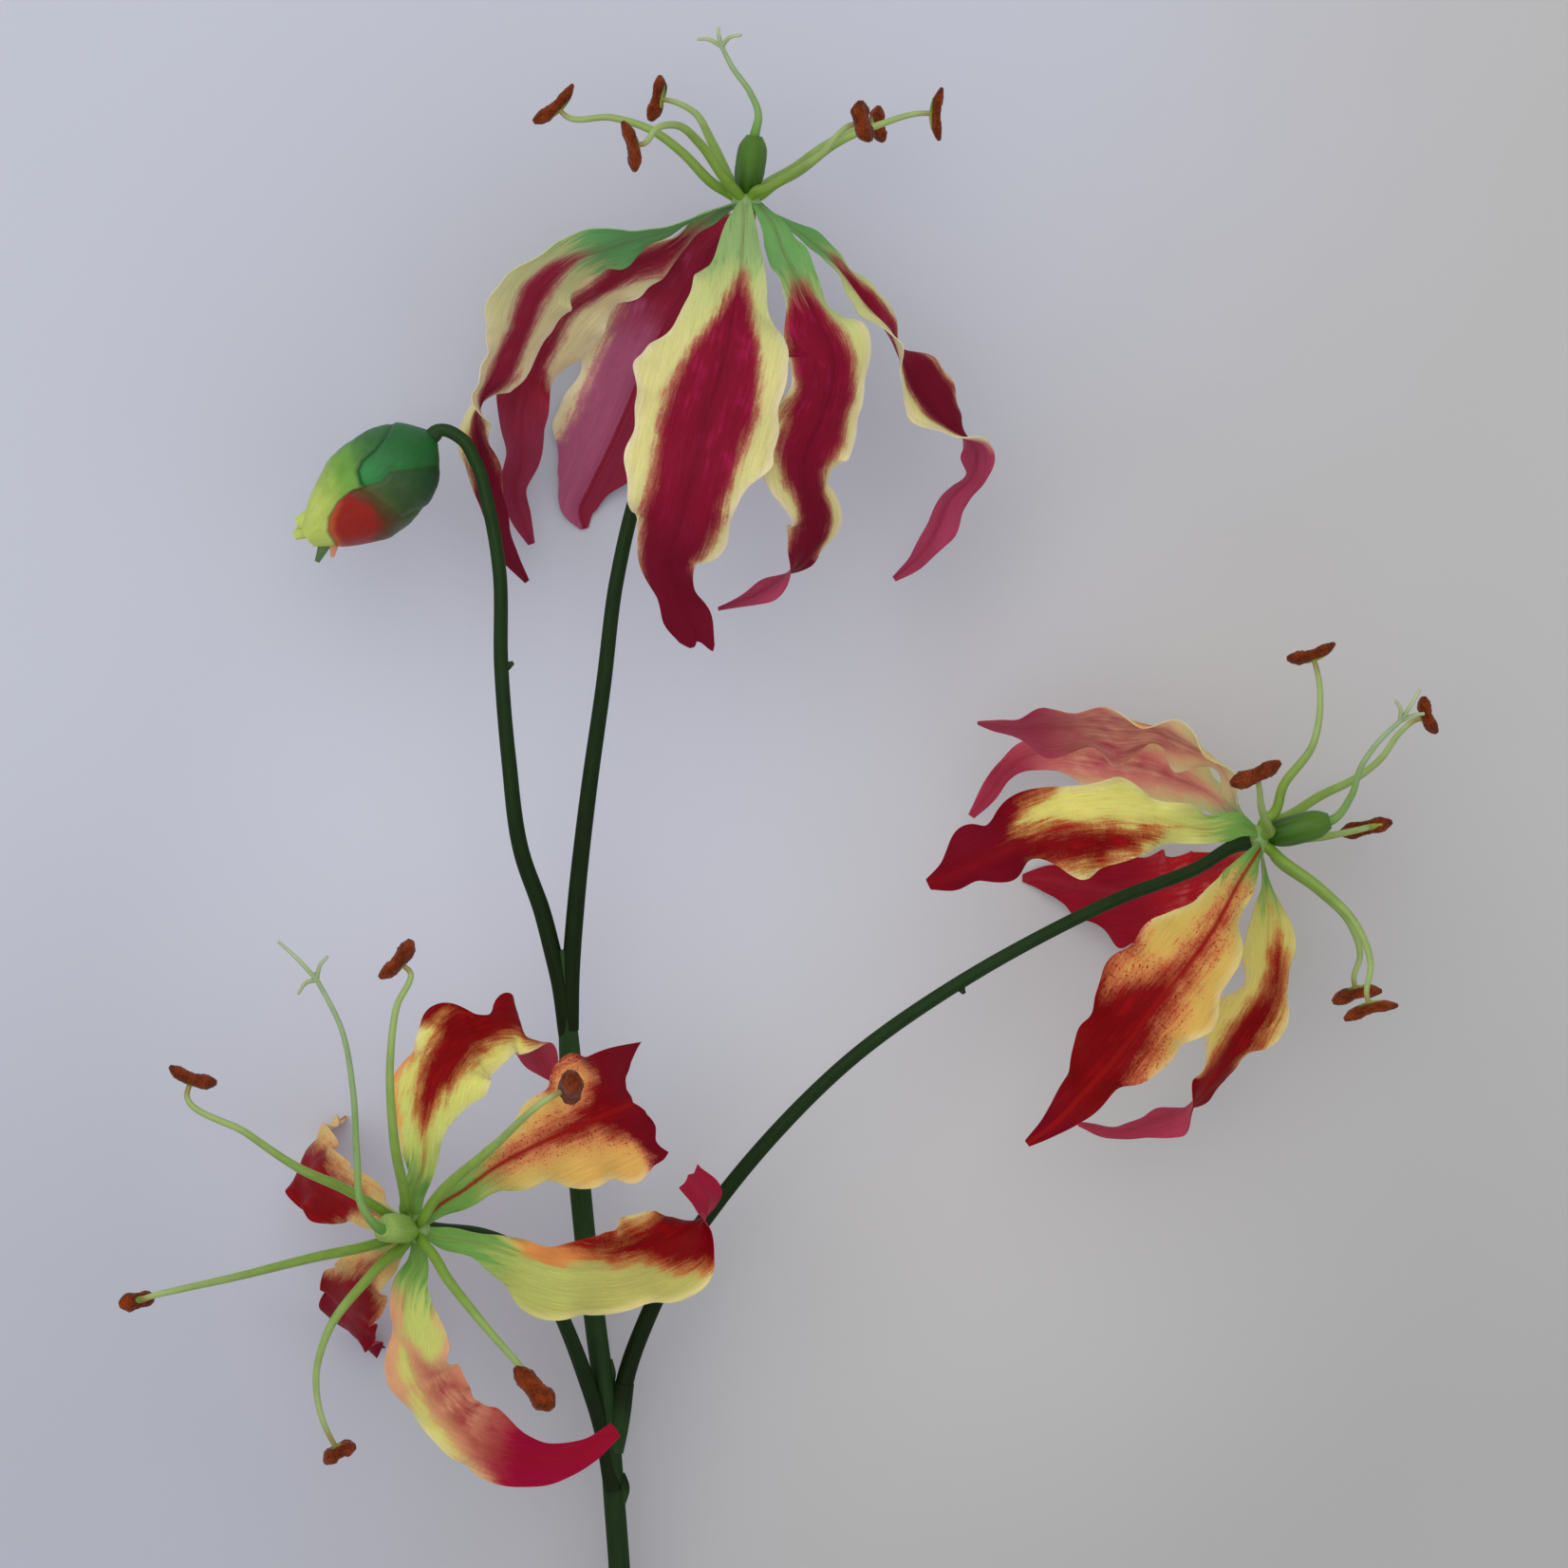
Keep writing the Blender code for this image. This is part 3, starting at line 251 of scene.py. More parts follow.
def petal(around, knots, fold=-0.1, curl=0.0, ruffle=1.4, waves=4.5, phase=0.0, facing=(0, 0, 1),
          fringe=(0,) * 9):
    """A petal's form. around is its claw's angle on the hub. Each knot is (across, down, height, roll,
    right, left): at roll 0 the upper face looks along facing, at 180 the reverse does, and right and left
    are the half widths there, as seen on the upper face by one who looks from claw to tip. fold and curl
    lift the edges towards the upper face, ruffle waves them, and fringe is how far the tip reaches on at
    each of FRINGE_SIDES, from left to right."""
    return {"around": around, "knots": knots, "fold": fold, "curl": curl, "ruffle": ruffle, "waves": waves,
            "phase": phase, "facing": np.array(facing, float), "fringe": fringe}


# Each bloom's petals, in the order of the part's nodes.
PETALS = {
    "upper": [
        petal(-6, [(783, 236, 50.8, 0, 3.6, 2.8), (780, 280, 60, 0, 7.0, 4.8), (772, 330, 67, 0, 11.0, 9.2),
            (762, 378, 71, 0, 14.8, 13.4), (748, 425, 73.5, 0, 16.4, 14.8), (735, 470, 74, 0, 14.8, 14.2),
            (726, 512, 73, 2, 12.0, 11.8), (716, 556, 71, 4, 11.0, 10.0), (704, 592, 68, 6, 6.8, 6.0),
            (713, 624, 65, 8, 4.2, 3.8), (725, 652, 62, 10, 5.2, 4.8), (735, 678, 60, 10, 3.6, 3.2)],
            fold=-0.1, ruffle=2.5, phase=0.4, fringe=(1.5, 2.6, 1.6, 0, -0.6, 0.6, 0.8, 0, -1.2)),
        petal(50, [(812, 232, 48.6, -20, 2.4, 2.4), (825, 262, 53, -26, 3.6, 3.8),
            (840, 292, 57, -30, 4.8, 5.0), (860, 335, 61, -34, 7.8, 7.2), (880, 378, 63.5, -36, 10.4, 8.8),
            (876, 412, 64.5, -36, 11.6, 9.6), (862, 446, 64, -36, 10.8, 10.0),
            (848, 484, 62.5, -32, 10.0, 8.4), (850, 520, 60, -30, 7.0, 8.0),
            (860, 552, 57.5, -34, 6.4, 7.2), (850, 582, 55.5, -70, 5.0, 5.4),
            (826, 610, 54, -105, 4.6, 4.6), (795, 630, 53, -115, 3.6, 3.6), (757, 642, 52, -115, 0.8, 0.8)],
            ruffle=2.2, phase=1.6),
        petal(108, [(818, 229, 42, -80, 2.2, 2.2), (850, 251, 42, -66, 4.2, 4.2),
            (885, 284, 41, -64, 5.6, 5.6), (912, 316, 39.5, -68, 6.2, 6.2), (936, 350, 38, -84, 6.8, 6.8),
            (957, 388, 36.5, -55, 7.2, 7.4), (982, 426, 34.5, -50, 7.2, 7.6),
            (1008, 452, 33, -66, 6.6, 6.4), (1030, 474, 31, -110, 5.6, 5.4),
            (1027, 502, 30, -135, 4.2, 4.2), (1003, 527, 29, -140, 3.8, 3.8),
            (987, 560, 28, -140, 3.2, 3.2), (968, 588, 28, -140, 2.6, 2.6), (942, 610, 27, -135, 0.8, 0.8)],
            fold=0.12, ruffle=1.3, phase=2.5),
        petal(180, [(785, 228, 37, 180, 2.4, 2.4), (748, 262, 29, 180, 5.0, 6.0),
            (722, 305, 22, 181, 8.0, 11.0), (697, 352, 15, 183, 8.6, 15.4), (674, 400, 9, 186, 9.0, 13.6),
            (655, 445, 5, 188, 9.0, 13.6), (637, 485, 3, 186, 7.4, 12.0), (622, 515, 1.6, 184, 3.8, 8.0),
            (612, 538, 0.6, 180, 3.0, 4.2), (616, 557, 0.3, 180, 0.8, 0.8)], fold=-0.06, curl=-0.1,
            ruffle=1.5, phase=0.9),
        petal(238, [(757, 222, 40.2, 110, 2.2, 2.2), (706, 258, 33, 118, 4.5, 4.5),
            (650, 290, 27.5, 128, 7.0, 7.0), (603, 325, 22.5, 138, 9.4, 9.4),
            (577, 365, 18.5, 138, 9.4, 9.4), (556, 405, 15.5, 150, 6.4, 6.4), (549, 448, 13, 185, 4.8, 4.8),
            (551, 482, 12, 190, 3.8, 4.0), (543, 517, 11, 195, 2.7, 2.9), (549, 545, 10.5, 195, 2.4, 2.4),
            (560, 573, 10, 200, 0.8, 0.8)], ruffle=1.1, phase=3.6),
        petal(296, [(756, 219, 47, 85, 2.2, 2.2), (715, 236, 48, 100, 4.5, 4.5),
            (655, 256, 48, 110, 7.0, 7.0), (600, 276, 45, 120, 9.0, 11.0), (566, 308, 40.5, 124, 9.0, 13.5),
            (549, 348, 36, 124, 8.6, 11.6), (530, 390, 32, 118, 7.6, 9.6), (509, 418, 29, 92, 7.0, 7.4),
            (503, 450, 26.5, 50, 5.6, 5.0), (507, 490, 24.5, 40, 4.2, 4.2), (515, 530, 23.5, 40, 3.6, 3.8),
            (527, 565, 23, 40, 3.2, 3.2), (539, 590, 23, 45, 2.4, 2.4), (555, 613, 23, 50, 0.8, 0.8)],
            ruffle=1.2, phase=5.0),
    ],
    "right": [
        petal(-35, [(1308, 869, 49.6, 30, 2.4, 2.4), (1270, 872, 55, 18, 3.6, 3.8),
            (1230, 866, 60, 8, 4.6, 5.0), (1190, 862, 63, 4, 7.4, 8.6), (1150, 864, 65, 0, 8.0, 11.4),
            (1110, 872, 64.5, 0, 8.6, 9.4), (1074, 887, 62.8, 0, 8.8, 4.6), (1050, 898, 61.3, 0, 6.4, 6.2),
            (1025, 909, 59, 0, 7.2, 3.8), (1000, 922, 56.8, 0, 3.2, 3.6), (978, 932, 54.5, 0, 1.2, 1.2)],
            fold=-0.08, ruffle=2.3, phase=0.3),
        petal(-88, [(1308, 856, 44, 92, 2.2, 2.2), (1296, 820, 43.5, 100, 5.0, 5.0),
            (1262, 788, 42.5, 106, 8.2, 8.2), (1220, 771, 41.5, 110, 10.6, 10.6),
            (1170, 765, 40, 113, 11.6, 11.6), (1120, 765, 38.5, 114, 10.8, 10.8),
            (1075, 764, 37.5, 112, 7.6, 7.6), (1030, 761, 37, 108, 0.8, 0.8)], fold=-0.15, ruffle=1.7,
            phase=1.5),
        petal(-142, [(1309, 866, 38.5, 135, 2.4, 2.4), (1280, 838, 31, 150, 4.4, 4.4),
            (1240, 818, 26, 158, 7.0, 7.0), (1195, 804, 21.5, 162, 8.4, 8.4),
            (1150, 795, 18, 165, 7.0, 6.4), (1110, 791, 15.5, 165, 4.4, 4.2),
            (1078, 798, 13.5, 165, 2.8, 2.8), (1055, 816, 11.5, 165, 2.4, 2.6),
            (1042, 836, 10, 165, 2.0, 2.2), (1023, 860, 9, 160, 0.8, 0.8)], ruffle=1.1, phase=2.9),
        petal(145, [(1316, 904, 38, 195, 2.4, 2.4), (1272, 918, 27, 190, 4.4, 4.4),
            (1235, 930, 18, 186, 6.6, 6.4), (1195, 938, 10.5, 182, 11.6, 7.4),
            (1160, 938, 6, 180, 8.6, 5.6), (1125, 932, 3, 180, 4.2, 4.4), (1100, 926, 1.0, 180, 2.6, 2.8),
            (1077, 925, 0.3, 180, 0.8, 0.8)], ruffle=1.6, waves=6.5, phase=4.1),
        petal(90, [(1331, 918, 43.6, -76, 2.4, 2.4), (1335, 950, 43.5, -34, 4.0, 3.8),
            (1336, 995, 43, -24, 5.4, 5.0), (1331, 1040, 41.5, -24, 6.4, 6.4),
            (1312, 1078, 39, -26, 8.4, 8.2), (1292, 1110, 36, -34, 6.4, 5.6),
            (1276, 1140, 33, -66, 5.6, 5.6), (1250, 1166, 30.5, -105, 4.6, 4.6),
            (1216, 1184, 28.5, -118, 4.0, 4.0), (1178, 1192, 27.5, -118, 3.6, 3.6),
            (1136, 1184, 26.5, -115, 0.8, 0.8)], fold=0.1, ruffle=1.3, phase=5.3),
        petal(36, [(1321, 905, 49.5, -24, 2.4, 2.4), (1300, 940, 55, -14, 4.4, 3.6),
            (1275, 985, 59, -8, 9.2, 7.2), (1245, 1025, 61, -4, 12.4, 11.0),
            (1215, 1062, 60.5, 0, 12.4, 11.2), (1188, 1098, 58.5, 0, 10.4, 8.8),
            (1162, 1130, 55.5, 0, 7.6, 5.2), (1142, 1152, 53, 0, 5.4, 4.4), (1112, 1183, 50, 0, 2.8, 2.6),
            (1082, 1205, 47, 0, 0.8, 0.8)], fold=-0.06, ruffle=2.6, waves=5.5, phase=0.8),
    ],
    "lower": [
        petal(98, [(436, 1262, 66.4, 12, 2.2, 2.2), (445, 1235, 69, 6, 2.6, 3.0),
            (448, 1200, 70, 2, 3.4, 6.0), (455, 1165, 68.5, 0, 6.4, 8.2), (464, 1132, 65.5, -2, 9.6, 8.6),
            (480, 1106, 61, -6, 10.4, 8.2), (491, 1095, 58.6, -10, 9.4, 8.8),
            (506, 1089, 55.6, -12, 7.8, 4.4), (528, 1084, 51.5, -18, 6.6, 4.4),
            (545, 1086, 47.8, -50, 5.4, 8.6), (558, 1097, 45, -122, 4.6, 6.4),
            (571, 1116, 42.8, -158, 3.8, 4.0), (584, 1138, 41, -165, 0.8, 0.8)], fold=-0.08, ruffle=1.7,
            phase=0.6),
        petal(44, [(460, 1272, 68, -6, 2.4, 2.2), (488, 1254, 69, -6, 3.6, 3.0),
            (520, 1231, 70, -6, 5.4, 4.0), (552, 1213, 69, -4, 8.0, 6.0), (585, 1197, 66.5, -4, 11.0, 9.4),
            (616, 1184, 62.5, -4, 13.6, 12.4), (641, 1173, 58, -4, 14.6, 13.6),
            (660, 1165, 54, -6, 14.2, 12.6), (672, 1159, 50.5, -8, 12.6, 10.8)], fold=-0.06, ruffle=2.2,
            phase=1.9, facing=(0.35, 0.2, 0.9), fringe=(12.5, 6.0, 1.0, -1.4, -1.2, 0.4, 1.0, -2.2, 0.4)),
        petal(-16, [(467, 1304, 68, 0, 2.4, 2.2), (500, 1309, 68, 6, 3.0, 2.2),
            (545, 1322, 67.5, 12, 8.0, 2.8), (590, 1335, 65, 14, 11.0, 4.8),
            (630, 1338, 61.5, 12, 10.8, 7.4), (665, 1332, 57, 6, 8.6, 9.4),
            (697, 1318, 52.5, -2, 12.0, 8.4), (722, 1302, 49.5, -20, 8.6, 6.4),
            (740, 1286, 48.5, -70, 6.0, 5.2), (743, 1264, 50, -128, 5.0, 5.0),
            (726, 1241, 52, -140, 3.8, 3.8)], fold=-0.06, ruffle=1.8, phase=3.1,
            fringe=(0.6, 0.2, 0, 0.4, 0.8, 0.4, 0, 0.2, 0.6)),
        petal(-84, [(440, 1328, 66.4, 20, 2.4, 2.4), (430, 1356, 68, 22, 3.4, 4.6),
            (426, 1385, 68, 22, 3.4, 7.4), (427, 1418, 65.5, 20, 3.6, 9.4), (434, 1448, 62, 16, 5.2, 9.4),
            (452, 1479, 56.5, 10, 4.2, 8.6), (480, 1505, 51, 6, 5.0, 8.0), (512, 1524, 46.5, 0, 6.2, 7.4),
            (550, 1536, 43, 0, 6.0, 5.2), (585, 1538, 40.5, 0, 5.0, 3.4), (618, 1528, 39, 0, 3.0, 2.4),
            (649, 1506, 38.5, 0, 1.7, 1.7)], fold=-0.06, ruffle=1.3, phase=4.4),
        petal(-136, [(415, 1317, 63.4, 0, 2.4, 2.4), (388, 1338, 53, 0, 5.0, 5.0),
            (370, 1364, 41, 0, 6.8, 7.2), (364, 1388, 27, 0, 7.6, 7.6), (371, 1405, 13, 0, 6.6, 6.6),
            (386, 1415, 3, 0, 4.4, 4.4), (404, 1420, 0.3, 0, 0.8, 0.8)], ruffle=1.7, phase=5.6,
            facing=(-0.7, -0.6, 0.5)),
        petal(162, [(409, 1285, 62.6, 0, 2.4, 2.4), (378, 1264, 53, 0, 4.6, 5.0),
            (346, 1246, 42, 0, 5.6, 8.0), (328, 1226, 28, 0, 6.4, 8.4), (332, 1203, 13, 0, 6.0, 6.0),
            (347, 1188, 3, 0, 4.2, 4.2), (364, 1176, 0.3, 0, 0.8, 0.8)], ruffle=1.7, phase=0.2,
            facing=(-0.8, 0.45, 0.5)),
    ],
}

# Each stamen: the angle where its filament leaves the hub, the filament's knots, and the anther's two
# ends, all as (across, down, height), and how plump the anther is at its two ends.
STAMENS = {
    "upper": [
        (270, [(752, 194, 46), (718, 160, 47), (688, 138, 47), (645, 124, 46)], (607, 92, 46),
            (565, 132, 46), (0.7, 1.2)),
        (212, [(768, 188, 38), (750, 150, 32), (731, 118, 26)], (699, 80, 20), (688, 128, 20),
            (0.85, 1.05)),
        (328, [(765, 190, 51), (738, 152, 57), (713, 132, 63), (691, 136, 67)], (660, 127, 69),
            (673, 180, 70), (0.8, 1.0)),
        (32, [(806, 199, 51), (835, 183, 58), (866, 162, 66)], (903, 107, 72), (913, 150, 72), (1.15, 1.2)),
        (148, [(805, 196, 37), (836, 177, 30), (870, 152, 24)], (922, 112, 18), (927, 150, 18), (1.0, 1.0)),
        (90, [(812, 197, 44), (842, 180, 45), (878, 153, 46), (925, 132, 45)], (988, 92, 44),
            (985, 148, 44), (0.75, 0.75)),
    ],
    "right": [
        (-70, [(1341, 858, 46), (1352, 828, 49), (1383, 785, 51), (1391, 742, 51)], (1357, 698, 50),
            (1408, 682, 50), (1.1, 0.8)),
        (-12, [(1336, 872, 53), (1329, 851, 64)], (1297, 828, 76), (1350, 805, 76), (1.1, 0.85)),
        (-125, [(1352, 862, 38), (1392, 838, 32), (1430, 819, 28), (1456, 798, 25), (1474, 773, 24)],
            (1496, 735, 24), (1510, 774, 24), (1.1, 1.0)),
        (178, [(1350, 882, 36), (1375, 883, 27), (1404, 880, 20)], (1412, 878, 17), (1467, 866, 17),
            (1.0, 0.85)),
        (122, [(1346, 906, 39), (1390, 939, 34), (1423, 974, 30), (1433, 1006, 28)], (1403, 1052, 26),
            (1455, 1040, 26), (1.15, 0.9)),
        (58, [(1348, 904, 49), (1393, 937, 55), (1430, 976, 59), (1444, 1014, 60)], (1415, 1070, 60),
            (1472, 1055, 60), (1.05, 0.8)),
    ],
    "lower": [
        (110, [(427, 1266, 71), (415, 1200, 84), (411, 1120, 88), (418, 1060, 88)], (437, 993, 87),
            (403, 1033, 87), (1.3, 1.0)),
        (150, [(400, 1274, 70), (370, 1256, 75), (310, 1228, 85), (260, 1194, 89)], (177, 1128, 89),
            (227, 1145, 89), (0.95, 1.15)),
        (205, [(394, 1311, 70.5), (330, 1325, 81), (250, 1345, 94)], (128, 1374, 104), (164, 1366, 99),
            (1.1, 0.8)),
        (245, [(413, 1322, 70), (385, 1350, 77), (347, 1400, 82), (333, 1450, 80), (338, 1490, 78)],
            (340, 1538, 75), (373, 1520, 75), (1.1, 1.1)),
        (-42, [(454, 1319, 72), (470, 1345, 78), (505, 1390, 88)], (543, 1440, 96), (582, 1484, 96),
            (1.0, 1.5)),
        (38, [(454, 1270, 72), (520, 1208, 86)], (597, 1155, 90), (604, 1136, 100), (1.5, 1.4)),
    ],
}

# Each pistil: the ovary's tip, the style's knots after it, and the tips of the three stigma branches.
PISTILS = {
    "upper": (
        (795, 143, 45),
        [(799, 120, 46), (790, 97, 46), (771, 70, 46), (759, 46, 46)],
        [(757, 28, 46), (735, 41, 43), (781, 37, 49)],
    ),
    "right": (
        (1401, 865, 46),
        [(1424, 838, 50), (1434, 808, 53), (1452, 782, 54), (1478, 757, 54)],
        [(1496, 726, 54), (1500, 752, 51), (1470, 738, 57)],
    ),
    "lower": (
        (402, 1295, 79.5),
        [(381, 1270, 84), (376, 1220, 85), (372, 1150, 87), (360, 1085, 89), (330, 1025, 90)],
        [(293, 992, 90), (345, 1008, 93), (314, 1047, 87)],
    ),
}

# The stems' knots, each (across, down, height).
MAIN_STEM = [
    (700, 2150, 2.45), (681, 1950, 4), (660, 1750, 8), (648, 1590, 12), (641, 1500, 14.5), (628, 1400, 17),
    (616, 1300, 19.5), (606, 1190, 22.5), (598, 1075, 25.8), (593, 1001, 27.7),
]
PEDICELS = {
    "upper": [
        (600, 1085, 25.6), (601, 1035, 26.8), (603, 1000, 27.8), (608, 940, 29.5), (620, 835, 33),
        (636, 720, 37), (650, 610, 40), (676, 505, 42), (718, 412, 43), (758, 322, 44), (781, 262, 44),
    ],
    "right": [
        (650, 1500, 14.6), (661, 1445, 15.4), (680, 1393, 16.7), (708, 1336, 18.6), (757, 1265, 21),
        (820, 1190, 24), (900, 1113, 28), (1000, 1042, 33), (1090, 990, 37), (1180, 946, 41),
        (1262, 914, 43.4),
    ],
    "lower": [
        (646, 1570, 13.2), (636, 1512, 15), (614, 1443, 20), (594, 1392, 27), (572, 1345, 37),
        (545, 1316, 46), (505, 1300, 53), (470, 1296, 58),
    ],
    "bud": [
        (598, 1090, 25.4), (590, 1035, 26.8), (582, 1002, 27.6), (571, 960, 28.6), (550, 900, 30),
        (536, 800, 31.5), (528, 700, 33), (526, 600, 34.2), (515, 535, 34.6), (501, 486, 34.6),
        (487, 463, 34.5),
    ],
}

# Leaf scars and the collar at the lower fork: each one's knots and its radii, spread evenly along it.
SCARS = [
    ([(656, 1552, 13.4), (657, 1569, 13.0), (655, 1589, 12.2)], (0.5, 1.2, 1.3, 1.0, 0.4)),
    ([(530, 704, 33.0), (534, 702, 33.0), (541, 698, 33.0)], (1.0, 0.9, 0.4)),
    ([(1010, 1036, 33.6), (1013, 1042, 33.6), (1016, 1047, 33.6)], (1.0, 0.9, 0.4)),
    ([(657, 1457, 15.2), (654, 1480, 14.8), (648, 1530, 14.0)], (2.3, 2.4, 2.3, 1.8)),
    ([(642, 1462, 15.4), (645, 1446, 15.8), (644, 1432, 16.2)], (0.9, 0.8, 0.3)),
]

# The bud: its base and tip, the outlines of its upper and lower tepal on the likeness, which lie over the
# third one, and the free tips, each with its end and its radii from the root.
BUD_BASE = (455, 460, 34.0)
BUD_TIP = (324, 567, 32.0)
BUD_PROFILE = (0.2, 0.52, 0.76, 0.9, 0.99, 1.03, 1.05, 1.07, 1.06, 1.03, 0.94, 0.84, 0.72, 0.58, 0.42, 0.24)
UPPER_TEPAL = [
    (384, 516), (380, 508), (377, 496), (382, 486), (395, 475), (406, 462), (415, 445), (420, 400),
    (520, 400), (520, 500), (420, 540),
]
LOWER_TEPAL = [
    (352, 640), (354, 575), (345, 560), (346, 545), (356, 528), (371, 516), (384, 512), (401, 507),
    (411, 497), (455, 491), (520, 487), (520, 640),
]
BUD_TIP_ROOT = 0.25
BUD_TIPS = [
    ((312, 551, 33.0), (3.4, 2.9, 1.1)),
    ((310, 565, 32.0), (3.2, 2.7, 0.9)),
    ((334, 592, 31.0), (2.4, 1.6, 0.5)),
    ((350, 587, 32.0), (2.2, 1.4, 0.4)),
]

# Where the bud's blush is on the likeness, and its half sizes there.
BLUSH_PLACE = np.array([368.0, 548.0])
BLUSH_SIZE = np.array([36.0, 30.0])

# Nothing reaches in from a petal's edges.
NONE = [(0, -9, -9), (1, -9, -9)]

# green is the share of the length where the green base ends, dark where the tip's deep crimson begins,
# glow the width of the orange beside the red and warmth its strength, rib how strong the midrib's line
# is, pale how far the red is washed out, tint how orange the margins are, spots how strong the red specks
# are, deep how much darker the right half is, and ragged how far the red's edge strays.
STRENGTHS = {"green": 0.12, "dark": 0.8, "glow": 2.0, "rib": 0.5, "pale": 0.0, "warmth": 0.85, "tint": 0.0,
             "spots": 0.0, "deep": 0.0, "ragged": 1.0}


def paint(stripe, rim=NONE, warm=NONE, tones=None, **strengths):
    """A petal's colours. Every row of stripe, rim and warm is (share of the length, right, left): stripe
    is how far the red reaches from the spine, as a share of the half width, and rim and warm are how far
    red and orange reach in from the edges, in millimetres. tones are display colours of this petal's own,
    and strengths stand in for those of STRENGTHS."""
    return {"stripe": stripe, "rim": rim, "warm": warm, "tones": tones or {}, **STRENGTHS, **strengths}


